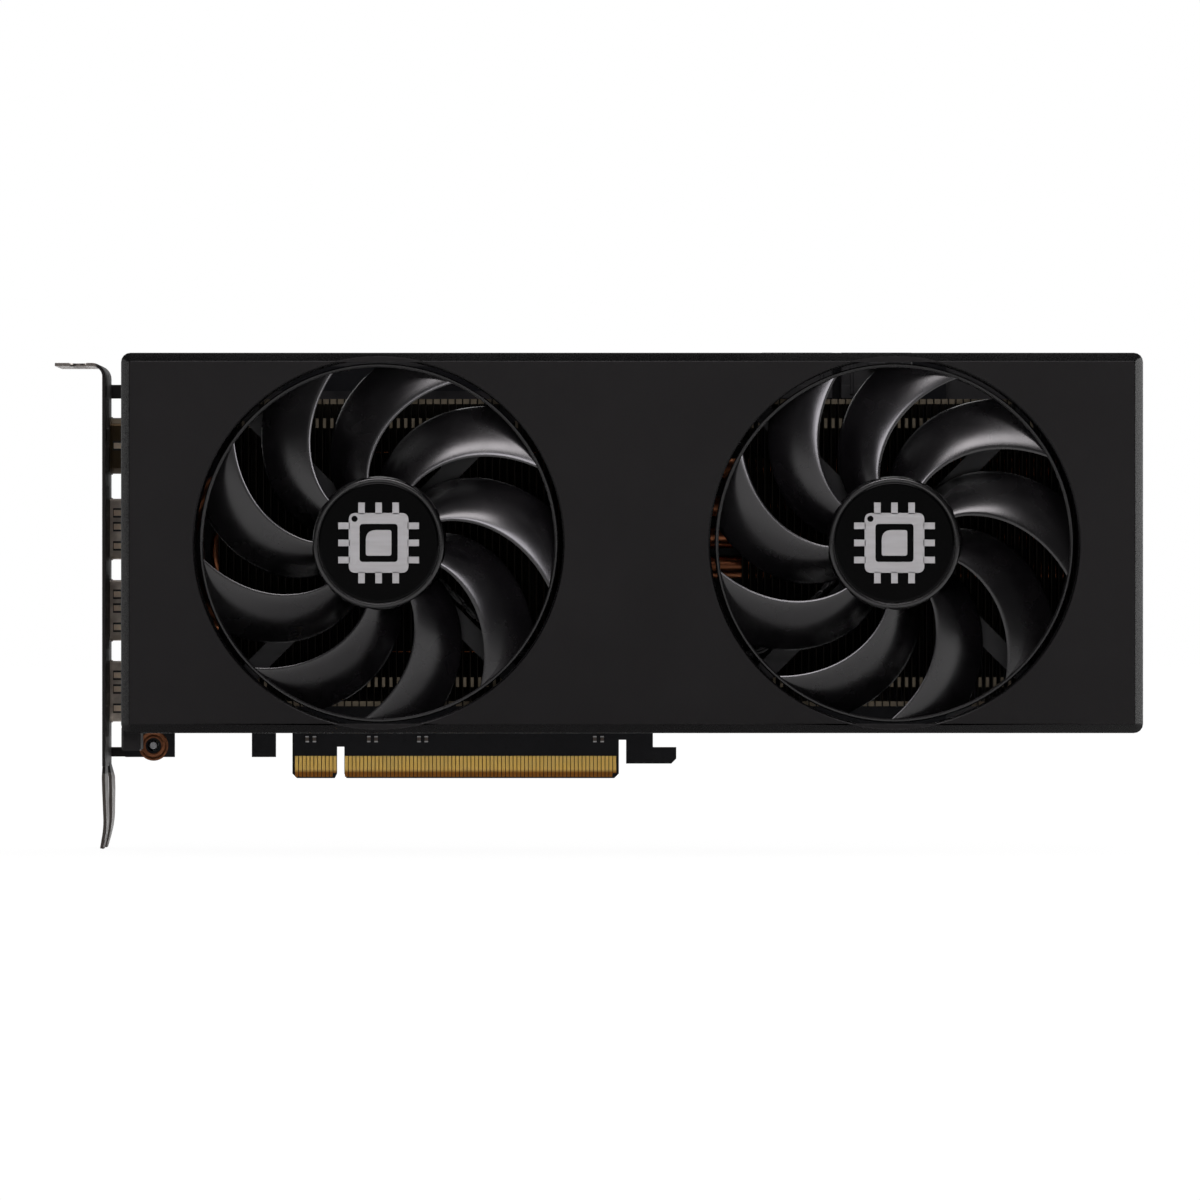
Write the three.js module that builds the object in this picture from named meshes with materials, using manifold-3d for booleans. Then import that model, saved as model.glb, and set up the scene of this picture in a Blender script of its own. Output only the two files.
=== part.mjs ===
// A dual-fan graphics card, as an assembly of separate named pieces.
//
// Millimetres, right-handed, +Z up. The card stands upright: fans facing -Y, slot contacts down, slot bracket
// at -X. The origin is the middle of the slot connector's bottom edge, halfway through the board's thickness.
import * as THREE from "three";
import { mergeVertices } from "three/addons/utils/BufferGeometryUtils.js";
import Module from "manifold-3d";

const wasm = await Module();
wasm.setup();

// --------------------------------------------------------------------------------------------------------
// Driving dimensions
// --------------------------------------------------------------------------------------------------------

const SEAT = 0.05; // air left between two pieces that rest on each other
const CUT = 1; // how far a cutting tool runs past the face it cuts

// Circuit board: 1.6 mm thick, centred on Y = 0, components on the -Y side.
const BOARD = { half: 0.8, left: -86.2, right: 128, bottom: 13.5, top: 107.5 };
const BOARD_RAISED = { left: 71, top: 111 }; // the taller stretch that carries the power sockets
const SLOT = { half: 42.6, key: [-30.95, -29.05], keyDepth: 8.2, padTop: 6.5, film: 0.06 };
// Two small tabs left of the slot connector, and the locking hook right of it.
const FOOT = { left: -73.3, second: [-53.2, -46.9], bottom: 5.5 };
const HOOK = { left: 44.5, neck: 51.5, right: 57.6, bottom: 3.8, top: 8.1, nose: 1.3 };
const SCREW_HOLE = { board: 1.6, plate: 1.9, thread: 1.25, base: 1.3 };

// Shroud: a shallow box with its face at the front and two round openings.
const SHROUD = {
  left: -85.7, right: 177.6, bottom: 12.2, top: 110.2, face: -44, back: -22, wall: 2, chamfer: 1.5,
};
const SHROUD_VENTS = { x: [[-72, -10], [-2, 60], [76, 116], [124, 164]], depth: 7 };
const SHROUD_FOOT = { width: 5, front: -40, bottom: 7.6 };
const END_WALL = { z: [24, 98] };
const OPENING = 47.4;
const DUCT = { thickness: 1.5, back: -31 };
const ROUND = 56; // sides of the largest circles
const FAN_X = { left: -19.3, right: 113.5 };
const FAN_Z = 61.2;

// Fan: all radii from the spin axis, all Y values in the card's frame.
const BLADES = 9;
const HUB = { radius: 17.3, wall: 1.2, front: -43.2, back: -32, bevel: 1.4 };
const BLADE = {
  tip: 45.8, sweep: 34, sweepPower: 1.25, chordRoot: 31, chordTip: 26, front: -42.3, back: -32.7, offset: 4,
  thickRoot: 1.7, thickTip: 1.1, shallowTip: 0.82, camber: 1.35,
};
const BOSS = { radius: 3.2, back: -40 };
const RIM = { inner: 45.25, outer: 46.3, front: -42.2, back: -32.6 };
// The first blade of each fan leaves the hub BLADE.offset degrees above this.
const ROTOR_PHASE = { left: 54.5, right: 58.5 };
const SHAFT_RADIUS = 1.5;
const BEARING = { radius: 2.75, bore: 1.56, front: -39.3, back: -31.2 };
const TUBE = { radius: 4.2, bore: 2.8, front: -39.4 };
const MAGNET = { radius: 15.95, inner: 13.8, front: -41.5, back: -33 };
const STATOR = {
  radius: 13.1, ring: 6.2, poles: 6, front: -38.6, back: -33.4, armWidth: 4.4, shoeWidth: 9.6,
};
const FRAME = { radius: 16.6, front: -30.6, back: -29, arm: 5, lug: 3.6 };
const POST = { reach: 36.5, radius: 3.2, stake: 1.2, stakeHole: 1.45 };
const BADGE = { radius: 14.8, thickness: 0.35 };
const CABLE = { radius: 0.95, y: -29.85, fromArm: 4.2, farRadius: 44, headerX: { left: 67.2, right: 71 } };

// Cooler, from the board outwards.
const GPU = { x: 5, z: 60, side: 40, die: 16, substrate: [-2.3, -0.85], dieFront: -3.2 };
const MEMORY = { along: 14, across: 12, front: -1.95, beside: { x: 36, z: 12 }, below: { x: 13, z: 30.5 } };
const CHOKE = { x: [54.5, 62], front: -5.3, half: 3.8, z: [44, 60, 76] };
const MEMORY_PLATE = { x: [-60, 52], z: [19, 101], y: [-3.2, -2.05], window: 47 };
const BASE = { half: 37, corner: 5, y: [-6.3, -3.3] };
const SPRING_HOLE = 32; // each mounting hole, from the processor's centre, along X and along Z
const PIPE = { radius: 3, y: -9.4, turn: -49, lowEnd: 62, highEnd: 165, straightStart: -48 };
const PIPE_Z = { outer: [37.5, 80.5], inner: [47.3, 70.7], straight: [55.1, 62.9] };
const FIN = { thickness: 0.4, pitch: 3, front: -28.4, back: -7, z: [19, 98.5] };
const FIN_RECESS = { z: [33.2, 84.8], y: -12.5, sheet: 0.4 };
const FIN_STACK = { left: [-61, 63.5], right: [74.5, 168] };

// Back plate and the spring bracket in its window.
const BACKPLATE = {
  left: -84, right: 177.4, bottom: 13.5, top: 109.8, corner: 4, y: [2.8, 4], window: 39, windowCorner: 6,
  notch: [-72.5, 94.5], // the corner left out over the slot bracket's upper ear
};
const SPRING_BRACKET = { y: [1.6, 2.8], hub: 17, window: 11, arm: 9, lug: 5 };
const END_POST = { x: 172.3, z: [19.5, 102.5], radius: 3, threadDepth: -6 };

// Slot bracket: two slots wide, folded from one sheet.
const BRACKET = { outer: -90.8, sheet: 0.86, y: [-36.3, 2.9], z: [3.4, 107.7], bend: 3.5 };
const FLANGE = { reach: 12.2, notchRadius: 2.2, notchX: 6.3 };
const TAIL = { width: 10.2, jogTop: 1.6, jogBottom: -1.4, jog: 1, kickTop: -11, kick: 0.8, tip: -17.9 };
const SLOT_PITCH = 20.32;
const FIRST_SLOT_Y = -7.1;
const BRACKET_EAR = {
  x: -78.9, y: [0.85, 1.71], lower: 8.5, upper: 100.9, radius: 4, hole: 1.25,
  lowerNeck: [5.6, 8.1], upperNeck: [99.1, 102.7],
};
const BRACKET_VENT = {
  columns: [-17.4, -24.9, -32.4], width: 4.4, rows: 8, bottom: 11, pitch: 11.4, height: 8.2,
};

// Sockets.
const PORT = { mouth: -91.5, back: -72, y: [-6.3, -0.85], shell: 0.5, depth: 9, tongue: 1.2 };
const PORT_Z = { wide: 86.7, tall: [65, 43.8, 22.7] };
const POWER = {
  x: [89, 109.6], width: 18.6, y: [-10.5, -0.9], z: [98.9, 110.9], pitch: 4.2, cell: 3.3, depth: 8.5,
};
const LATCH = { half: 2.2, reach: 1.1, fromTop: [4.6, 2.4] };
const HEADER = { x: [65.4, 72.8], y: [-5.6, -0.85], z: [27.9, 35.9], wall: 0.8, depth: 3 };

// --------------------------------------------------------------------------------------------------------
// Materials
// --------------------------------------------------------------------------------------------------------

const paint = (color, roughness, metalness = 0) =>
  new THREE.MeshStandardMaterial({ color, roughness, metalness });

const MATERIAL = {
  shroud: paint(0x232223, 0.55),
  fan: paint(0x1b1a1c, 0.3),
  badge: paint(0x0a0a0b, 0.2),
  boardMask: paint(0x0b0c10, 0.45),
  gold: paint(0xb8923e, 0.3, 1),
  copper: paint(0xb4683c, 0.3, 1),
  nickel: paint(0xb9b6b0, 0.25, 1),
  aluminium: paint(0x9a9a9c, 0.4, 1),
  backplate: paint(0x1c1c1e, 0.5, 0.6),
  steel: paint(0x8e8984, 0.35, 1),
  darkSteel: paint(0x2a2a2c, 0.4, 1),
  chip: paint(0x151517, 0.5),
  socket: paint(0x101011, 0.5),
  magnet: paint(0x2e2d2c, 0.7),
  cable: paint(0x121212, 0.6),
};

// --------------------------------------------------------------------------------------------------------
// Solid modelling helpers
// --------------------------------------------------------------------------------------------------------

// A manifold-3d solid from a closed three.js geometry, whichever way round its faces are.
function solid(geometry) {
  const bare = geometry.index ? geometry.toNonIndexed() : geometry.clone();
  for (const name of Object.keys(bare.attributes)) {
    if (name !== "position") bare.deleteAttribute(name);
  }
  const merged = mergeVertices(bare, 1e-4);
  const corners = merged.index.array;
  const triangles = [];
  for (let i = 0; i < corners.length; i += 3) {
    const [a, b, c] = [corners[i], corners[i + 1], corners[i + 2]];
    if (a !== b && b !== c && c !== a) triangles.push(a, b, c);
  }
  const vertProperties = merged.attributes.position.array;
  const closed = (order) =>
    new wasm.Manifold(new wasm.Mesh({ numProp: 3, vertProperties, triVerts: new Uint32Array(order) }));
  const made = closed(triangles);
  return made.volume() > 0 ? made : closed([...triangles].reverse());
}

const join = (...solids) => solids.flat().reduce((whole, next) => whole.add(next));
const cut = (whole, ...tools) => tools.flat().reduce((left, tool) => left.subtract(tool), whole);

// A box from its low and high corner along each axis.
function box([x0, x1], [y0, y1], [z0, z1]) {
  const geometry = new THREE.BoxGeometry(x1 - x0, y1 - y0, z1 - z0);
  return solid(geometry.translate((x0 + x1) / 2, (y0 + y1) / 2, (z0 + z1) / 2));
}

// An outline drawn in X (first) and Z (second), as thick as the span of Y.
function plate(outline, [y0, y1]) {
  const drawn = (points) => new THREE.Shape(points.map(([x, z]) => new THREE.Vector2(x, z)));
  const shape = outline instanceof THREE.Shape ? outline : drawn(outline);
  const options = { depth: y1 - y0, bevelEnabled: false, curveSegments: 8 };
  const geometry = new THREE.ExtrudeGeometry(shape, options);
  return solid(geometry.rotateX(Math.PI / 2).translate(0, y1, 0));
}

// An outline drawn in Y (first) and Z (second), as thick as the span of X.
function profile(outline, [x0, x1]) {
  const shape = new THREE.Shape(outline.map(([y, z]) => new THREE.Vector2(y, z)));
  const geometry = new THREE.ExtrudeGeometry(shape, { depth: x1 - x0, bevelEnabled: false });
  return solid(geometry.rotateX(Math.PI / 2).rotateZ(Math.PI / 2).translate(x0, 0, 0));
}

// A round bar along Y.
function bar(x, z, radius, [y0, y1], sides = 16) {
  const geometry = new THREE.CylinderGeometry(radius, radius, y1 - y0, sides);
  return solid(geometry.translate(x, (y0 + y1) / 2, z));
}

// A turned piece about Y, from [radius, y] pairs that start and end on the axis, or that close on themselves.
function turned(pairs, sides) {
  const points = pairs.map(([radius, y]) => new THREE.Vector2(radius, y));
  if (pairs[0][0] > 0) points.push(points[0].clone());
  return solid(new THREE.LatheGeometry(points, sides));
}

const ring = (inner, outer, [y0, y1], sides) =>
  turned([[inner, y0], [outer, y0], [outer, y1], [inner, y1]], sides);

// A path that an extrusion samples exactly at its waypoints.
class WaypointPath extends THREE.Curve {
  constructor(points) {
    super();
    this.points = points;
  }

  getPoint(t, target = new THREE.Vector3()) {
    const place = t * (this.points.length - 1);
    const i = Math.min(Math.floor(place), this.points.length - 2);
    return target.lerpVectors(this.points[i], this.points[i + 1], place - i);
  }

  getPointAt(t, target) {
    return this.getPoint(t, target);
  }

  getTangentAt(t, target = new THREE.Vector3()) {
    const place = Math.round(t * (this.points.length - 1));
    const here = this.points[place];
    const before = this.points[Math.max(place - 1, 0)];
    const after = this.points[Math.min(place + 1, this.points.length - 1)];
    const arriving = here.clone().sub(before).normalize();
    return target.subVectors(after, here).normalize().add(arriving).normalize();
  }
}

// A round rod of the given radius along waypoints.
function rod(waypoints, radius, sides) {
  const path = new WaypointPath(waypoints);
  const circle = new THREE.Shape().absarc(0, 0, radius, 0, 2 * Math.PI);
  const steps = waypoints.length - 1;
  const options = { steps, extrudePath: path, curveSegments: sides / 2, bevelEnabled: false };
  return solid(new THREE.ExtrudeGeometry(circle, options));
}

// A mesh for one sub-part.
function piece(name, made, material) {
  const { numProp, vertProperties, triVerts } = made.getMesh();
  const geometry = new THREE.BufferGeometry();
  geometry.setAttribute("position", new THREE.InterleavedBufferAttribute(
    new THREE.InterleavedBuffer(vertProperties, numProp), 3, 0,
  ));
  geometry.setIndex([...triVerts]);
  const flat = geometry.toNonIndexed();
  flat.computeVertexNormals();
  const mesh = new THREE.Mesh(flat, material);
  mesh.name = name;
  return mesh;
}

// --------------------------------------------------------------------------------------------------------
// Circuit board and what is soldered to it
// --------------------------------------------------------------------------------------------------------

const SPRING_SCREWS = [[-1, -1], [1, -1], [-1, 1], [1, 1]].map(([i, k]) => [
  GPU.x + i * SPRING_HOLE,
  GPU.z + k * SPRING_HOLE,
]);
const PLATE_SCREWS = [[-56, 96], [-56, 24], [48.5, 96], [48.5, 24]];
const EAR_SCREWS = [BRACKET_EAR.lower, BRACKET_EAR.upper].map((z) => [BRACKET_EAR.x, z]);

// A square with its corners cut, centred on the processor.
function cutSquare(half, corner) {
  return [
    [-half, -half + corner], [-half + corner, -half], [half - corner, -half], [half, -half + corner],
    [half, half - corner], [half - corner, half], [-half + corner, half], [-half, half - corner],
  ].map(([x, z]) => [GPU.x + x, GPU.z + z]);
}

function board() {
  const nose = 1.2; // chamfer on the connector's corners
  const [keyLeft, keyRight] = SLOT.key;
  const hookTop = 10;
  const outline = [
    [BOARD.left, FOOT.bottom], [FOOT.left, FOOT.bottom], [FOOT.left, BOARD.bottom],
    [FOOT.second[0], BOARD.bottom], [FOOT.second[0], FOOT.bottom], [FOOT.second[1], FOOT.bottom],
    [FOOT.second[1], BOARD.bottom], [-SLOT.half, BOARD.bottom], [-SLOT.half, nose], [-SLOT.half + nose, 0],
    [keyLeft - nose / 2, 0], [keyLeft, nose], [keyLeft, SLOT.keyDepth], [keyRight, SLOT.keyDepth],
    [keyRight, nose], [keyRight + nose / 2, 0], [SLOT.half - nose, 0], [SLOT.half, nose],
    [SLOT.half, hookTop], [HOOK.left, hookTop], [HOOK.left, HOOK.bottom],
    [HOOK.right - HOOK.nose, HOOK.bottom], [HOOK.right, HOOK.bottom + HOOK.nose],
    [HOOK.right, HOOK.top], [HOOK.neck, HOOK.top],
    [HOOK.neck, BOARD.bottom], [BOARD.right, BOARD.bottom], [BOARD.right, BOARD_RAISED.top],
    [BOARD_RAISED.left, BOARD_RAISED.top], [BOARD_RAISED.left - 2, BOARD.top], [BOARD.left, BOARD.top],
  ];
  const through = [-BOARD.half - CUT, BOARD.half + CUT];
  const screws = [...SPRING_SCREWS, ...PLATE_SCREWS, ...EAR_SCREWS];
  const holes = screws.map(([x, z]) => bar(x, z, SCREW_HOLE.board, through, 12));
  return cut(plate(outline, [-BOARD.half, BOARD.half]), holes);
}

// The gold contact field of one face, as one film that passes over the key notch.
function contactFilm([y0, y1]) {
  const end = SLOT.half - 1.1;
  const foot = 0.6;
  const bridge = { bottom: SLOT.keyDepth + 0.6, top: SLOT.keyDepth + 1.4, shoulder: 1 };
  const [keyLeft, keyRight] = [SLOT.key[0] - 0.5, SLOT.key[1] + 0.5];
  const outline = [
    [-end, foot], [keyLeft, foot], [keyLeft, bridge.bottom], [keyRight, bridge.bottom], [keyRight, foot],
    [end, foot], [end, SLOT.padTop], [keyRight + bridge.shoulder, SLOT.padTop],
    [keyRight + bridge.shoulder, bridge.top], [keyLeft - bridge.shoulder, bridge.top],
    [keyLeft - bridge.shoulder, SLOT.padTop], [-end, SLOT.padTop],
  ];
  return plate(outline, [y0, y1]);
}

function graphicsProcessor() {
  const { x, z, side, die } = GPU;
  const square = (size, y) => box([x - size / 2, x + size / 2], y, [z - size / 2, z + size / 2]);
  return join(square(side, GPU.substrate), square(die, [GPU.dieFront, GPU.substrate[0]]));
}

// Six memory chips: two standing on each side of the processor and two lying below it.
function memoryChips() {
  const { along, across, front, beside, below } = MEMORY;
  const standing = [-1, 1].flatMap((i) => [-1, 1].map((k) => [
    GPU.x + i * beside.x, GPU.z + k * beside.z, across, along,
  ]));
  const lying = [-1, 1].map((i) => [GPU.x + i * below.x, GPU.z - below.z, along, across]);
  return [...standing, ...lying].map(([x, z, wide, tall]) =>
    box([x - wide / 2, x + wide / 2], [front, -BOARD.half - SEAT], [z - tall / 2, z + tall / 2]),
  );
}

function chokes() {
  const span = [CHOKE.front, -BOARD.half - SEAT];
  return CHOKE.z.map((z) => box(CHOKE.x, span, [z - CHOKE.half, z + CHOKE.half]));
}

// A display socket: a thin shell, open towards the bracket, with the contact tongue standing in its mouth.
function displaySocket(z, corners) {
  const outline = corners.map(([y, dz]) => [y, z + dz]);
  const middle = (PORT.y[0] + PORT.y[1]) / 2;
  const shrink = ([y, zz]) => [y + Math.sign(middle - y) * PORT.shell, zz + Math.sign(z - zz) * PORT.shell];
  const shell = cut(
    profile(outline, [PORT.mouth, PORT.back]),
    profile(outline.map(shrink), [PORT.mouth - CUT, PORT.mouth + PORT.depth]),
  );
  const half = outline.reduce((most, [, zz]) => Math.max(most, zz - z), 0) - 2.2;
  const reach = [PORT.mouth + 1.2, PORT.mouth + PORT.depth + 0.5];
  const tongue = box(reach, [middle - PORT.tongue / 2, middle + PORT.tongue / 2], [z - half, z + half]);
  return join(shell, tongue);
}

const [PORT_FRONT, PORT_REAR] = PORT.y;
const widePort = () =>
  displaySocket(PORT_Z.wide, [
    [PORT_REAR, -7.3], [PORT_REAR, 7.3], [-3.4, 7.3], [PORT_FRONT, 5.6], [PORT_FRONT, -5.6], [-3.4, -7.3],
  ]);
const tallPort = (z) =>
  displaySocket(z, [
    [PORT_REAR, -7.9], [PORT_REAR, 7.9], [PORT_FRONT, 7.9], [PORT_FRONT, -6.1], [-4.5, -7.9],
  ]);

// An eight-way power socket, its two rows of cells opening upwards, with a latch ledge on the front.
function powerSocket(x) {
  const [z0, z1] = POWER.z;
  const [y0, y1] = POWER.y;
  const half = POWER.width / 2;
  const body = box([x - half, x + half], [y0, y1], [z0, z1]);
  const [ledgeLow, ledgeHigh] = LATCH.fromTop.map((drop) => z1 - drop);
  const ledge = box([x - LATCH.half, x + LATCH.half], [y0 - LATCH.reach, y0 + CUT], [ledgeLow, ledgeHigh]);
  const cells = [];
  for (const column of [-1.5, -0.5, 0.5, 1.5]) {
    for (const row of [-0.5, 0.5]) {
      const cx = x + column * POWER.pitch;
      const cy = (y0 + y1) / 2 + row * POWER.pitch;
      const c = POWER.cell / 2;
      cells.push(box([cx - c, cx + c], [cy - c, cy + c], [z1 - POWER.depth, z1 + CUT]));
    }
  }
  return cut(join(body, ledge), cells);
}

// A small header for the fans' plugs, its mouth facing away from the board.
function fanHeader() {
  const { x, y, z, wall, depth } = HEADER;
  const mouth = box([x[0] + wall, x[1] - wall], [y[0] - CUT, y[0] + depth], [z[0] + wall, z[1] - wall]);
  return cut(box(x, y, z), mouth);
}

// --------------------------------------------------------------------------------------------------------
// Cooler
// --------------------------------------------------------------------------------------------------------

// The plate that cools memory and power stages, with a window for the processor.
function memoryPlate() {
  const reach = MEMORY_PLATE.window / 2;
  const [y0, y1] = MEMORY_PLATE.y;
  const window = box([GPU.x - reach, GPU.x + reach], [y0 - CUT, y1 + CUT], [GPU.z - reach, GPU.z + reach]);
  const holes = [
    ...SPRING_SCREWS.map(([x, z]) => bar(x, z, SCREW_HOLE.plate, [y0 - CUT, y1 + CUT])),
    ...PLATE_SCREWS.map(([x, z]) => bar(x, z, SCREW_HOLE.thread, [y0 - CUT, y1 + CUT], 12)),
  ];
  return cut(box(MEMORY_PLATE.x, MEMORY_PLATE.y, MEMORY_PLATE.z), window, holes);
}

function basePlate() {
  const tools = [BASE.y[0] - CUT, BASE.y[1] + CUT];
  const holes = SPRING_SCREWS.map(([x, z]) => bar(x, z, SCREW_HOLE.base, tools, 12));
  return cut(plate(cutSquare(BASE.half, BASE.corner), BASE.y), holes);
}

const at = (x, z) => new THREE.Vector3(x, PIPE.y, z);

// A heat pipe that leaves the base to the left, turns back in a half circle and runs on to the right.
function bentPipe([low, high]) {
  const radius = (high - low) / 2;
  const steps = 10;
  const waypoints = [at(PIPE.lowEnd, low)];
  for (let i = 0; i <= steps; i++) {
    const angle = -Math.PI / 2 - (Math.PI * i) / steps;
    waypoints.push(at(PIPE.turn + radius * Math.cos(angle), (low + high) / 2 + radius * Math.sin(angle)));
  }
  waypoints.push(at(PIPE.highEnd, high));
  return rod(waypoints, PIPE.radius, 12);
}

const straightPipe = (z) => rod([at(PIPE.straightStart, z), at(PIPE.highEnd, z)], PIPE.radius, 12);

// Thin fins across the card, joined where their feet meet on the heat pipes.
function finStack([x0, x1]) {
  const { z, front, back, thickness, pitch } = FIN;
  const fin = [
    [front, z[0]], [back, z[0]], [back, FIN_RECESS.z[0]], [FIN_RECESS.y, FIN_RECESS.z[0]],
    [FIN_RECESS.y, FIN_RECESS.z[1]], [back, FIN_RECESS.z[1]], [back, z[1]], [front, z[1]],
  ];
  const sheet = box([x0, x1], [FIN_RECESS.y - FIN_RECESS.sheet, FIN_RECESS.y], FIN_RECESS.z);
  const count = Math.floor((x1 - x0 - thickness) / pitch) + 1;
  const spacing = (x1 - x0 - thickness) / (count - 1);
  const starts = Array.from({ length: count }, (_, i) => x0 + i * spacing);
  const fins = starts.map((start) => profile(fin, [start, start + thickness]));
  return join(sheet, fins);
}

// --------------------------------------------------------------------------------------------------------
// Shroud, back plate, spring bracket, slot bracket
// --------------------------------------------------------------------------------------------------------

const FAN_SIDES = Object.keys(FAN_X);
const CORNERS = [[-1, -1], [1, -1], [-1, 1], [1, 1]];

function shroud() {
  const { left, right, bottom, top, face, back, wall, chamfer } = SHROUD;
  const rectangle = new THREE.Shape([
    new THREE.Vector2(left, bottom), new THREE.Vector2(right, bottom),
    new THREE.Vector2(right, top), new THREE.Vector2(left, top),
  ]);
  const depth = 2 * (back - face);
  const bevelled = new THREE.ExtrudeGeometry(rectangle, {
    depth, bevelThickness: chamfer, bevelSize: chamfer, bevelOffset: -chamfer, bevelSegments: 1,
  });
  const block = solid(bevelled.rotateX(Math.PI / 2).translate(0, face + chamfer + depth, 0));
  const everything = [-2 * right, 2 * right];
  const body = cut(
    block,
    box(everything, [back, back + 2 * depth], everything),
    box([left + wall, right - wall], [face + wall, back + depth], [bottom + wall, top - wall]),
  );

  const rooted = face + wall / 2;
  const ducts = FAN_SIDES.map((side) =>
    bar(FAN_X[side], FAN_Z, OPENING + DUCT.thickness, [rooted, DUCT.back], ROUND),
  );
  const posts = FAN_SIDES.flatMap((side) =>
    CORNERS.map(([i, k]) => {
      const [x, z] = [FAN_X[side] + i * POST.reach, FAN_Z + k * POST.reach];
      return join(
        bar(x, z, POST.radius, [rooted, FRAME.front - SEAT], 12),
        bar(x, z, POST.stake, [FRAME.front - CUT, FRAME.back], 12),
      );
    }),
  );
  const endPostSpan = [rooted, BACKPLATE.y[0] - SEAT];
  const endPosts = END_POST.z.map((z) => bar(END_POST.x, z, END_POST.radius, endPostSpan, 12));
  const endWall = box([right - wall, right - SEAT], [back - CUT, BACKPLATE.y[0] - SEAT], END_WALL.z);
  const footHeight = [SHROUD_FOOT.bottom, bottom + CUT];
  const foot = box([left, left + SHROUD_FOOT.width], [SHROUD_FOOT.front, back], footHeight);

  const openingSpan = [face - CUT, DUCT.back + CUT];
  const openings = FAN_SIDES.map((side) => bar(FAN_X[side], FAN_Z, OPENING, openingSpan, ROUND));
  const threadSpan = [END_POST.threadDepth, BACKPLATE.y[0] + CUT];
  const threads = END_POST.z.map((z) => bar(END_POST.x, z, SCREW_HOLE.thread, threadSpan, 12));
  const ventSpan = [back - SHROUD_VENTS.depth, back + CUT];
  const vents = SHROUD_VENTS.x.flatMap((span) => [
    box(span, ventSpan, [top - wall - CUT, top + CUT]),
    box(span, ventSpan, [bottom - CUT, bottom + wall + CUT]),
  ]);
  return cut(join(body, ducts, posts, endPosts, endWall, foot), openings, threads, vents);
}

function backPlate() {
  const { left, right, bottom, top, corner, y, window, windowCorner, notch } = BACKPLATE;
  const outline = [
    [left, bottom], [right - corner, bottom], [right, bottom + corner], [right, top - corner],
    [right - corner, top], [notch[0], top], notch, [left, notch[1]],
  ];
  const tools = [y[0] - CUT, y[1] + CUT];
  const screws = [...PLATE_SCREWS, ...END_POST.z.map((z) => [END_POST.x, z])];
  const screwHoles = screws.map(([x, z]) => bar(x, z, SCREW_HOLE.board, tools));
  return cut(plate(outline, y), plate(cutSquare(window, windowCorner), tools), screwHoles);
}

// A cross of spring steel that pulls the base plate onto the processor.
function springBracket() {
  const { y, hub, window, arm, lug } = SPRING_BRACKET;
  const tools = [y[0] - CUT, y[1] + CUT];
  const square = (half, span) => box([GPU.x - half, GPU.x + half], span, [GPU.z - half, GPU.z + half]);
  const [near, far] = [hub - 5, SPRING_HOLE];
  const side = arm / 2 / Math.SQRT2;
  const armCorners = [
    [near - side, near + side], [near + side, near - side],
    [far + side, far - side], [far - side, far + side],
  ];
  const arms = CORNERS.map(([i, k]) => plate(armCorners.map(([x, z]) => [GPU.x + i * x, GPU.z + k * z]), y));
  const lugs = SPRING_SCREWS.map(([x, z]) => bar(x, z, lug, y, 16));
  const holes = SPRING_SCREWS.map(([x, z]) => bar(x, z, SCREW_HOLE.board, tools, 12));
  return cut(join(cut(square(hub, y), square(window, tools)), arms, lugs), holes);
}

// A pan-head screw along Y, its head facing +Y and seated at the given height.
function screw([x, z], seat, tip, { head = 2.5, height = 1.4, shank = 1.2 } = {}) {
  const made = turned(
    [[0, tip], [shank, tip], [shank, seat], [head, seat], [head * 0.75, seat + height], [0, seat + height]],
    10,
  );
  const slots = [0, Math.PI / 2].map((turn) =>
    solid(new THREE.BoxGeometry(head * 1.1, height, 0.5).rotateY(turn).translate(0, seat + height, 0)),
  );
  return cut(made, slots).translate([x, 0, z]);
}

// The plate and the flange are one strip folded over a rounded bend, drawn in X and Z and pulled along Y.
function foldedStrip() {
  const { outer, sheet, y, z, bend } = BRACKET;
  const inner = outer + sheet;
  const fold = new THREE.Shape();
  fold.moveTo(outer, z[0]);
  fold.lineTo(inner, z[0]);
  fold.lineTo(inner, z[1] - bend);
  fold.absarc(inner - bend, z[1] - bend, bend, 0, Math.PI / 2, false);
  fold.lineTo(outer - FLANGE.reach, z[1]);
  fold.lineTo(outer - FLANGE.reach, z[1] - sheet);
  fold.lineTo(inner - bend, z[1] - sheet);
  fold.absarc(inner - bend, z[1] - bend, bend - sheet, Math.PI / 2, 0, true);
  fold.lineTo(outer, z[0]);
  return plate(fold, y);
}

// A tail jogs inwards below the plate and kicks outwards at its tip, to find its slot.
function tail(centre) {
  const { outer, sheet, z } = BRACKET;
  const sides = [
    [z[0] + CUT, 0], [TAIL.jogTop, 0], [TAIL.jogBottom, TAIL.jog], [TAIL.kickTop, TAIL.jog],
    [TAIL.tip, -TAIL.kick],
  ];
  const outerSide = sides.map(([tailZ, shift]) => [outer + shift, tailZ]);
  const innerSide = sides.map(([tailZ, shift]) => [outer + sheet + shift, tailZ]).reverse();
  return plate([...outerSide, ...innerSide], [centre - TAIL.width / 2, centre + TAIL.width / 2]);
}

// An ear folds inwards behind the board and takes one of its two screws.
function ear(centre, neck) {
  const start = BRACKET.outer + BRACKET.sheet / 2;
  const strip = box([start, BRACKET_EAR.x], BRACKET_EAR.y, neck);
  return join(strip, bar(BRACKET_EAR.x, centre, BRACKET_EAR.radius, BRACKET_EAR.y, 20));
}

// A notch in the flange, open to its side, for a chassis screw.
function flangeNotch(centre) {
  const radius = FLANGE.notchRadius;
  const x = BRACKET.outer - FLANGE.notchX;
  const y = centre - 4;
  const top = BRACKET.z[1];
  const round = new THREE.CylinderGeometry(radius, radius, 4, 16).rotateX(Math.PI / 2).translate(x, y, top);
  return join(solid(round), box([x - radius, x + radius], [y - 8, y], [top - 2, top + 2]));
}

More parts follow.
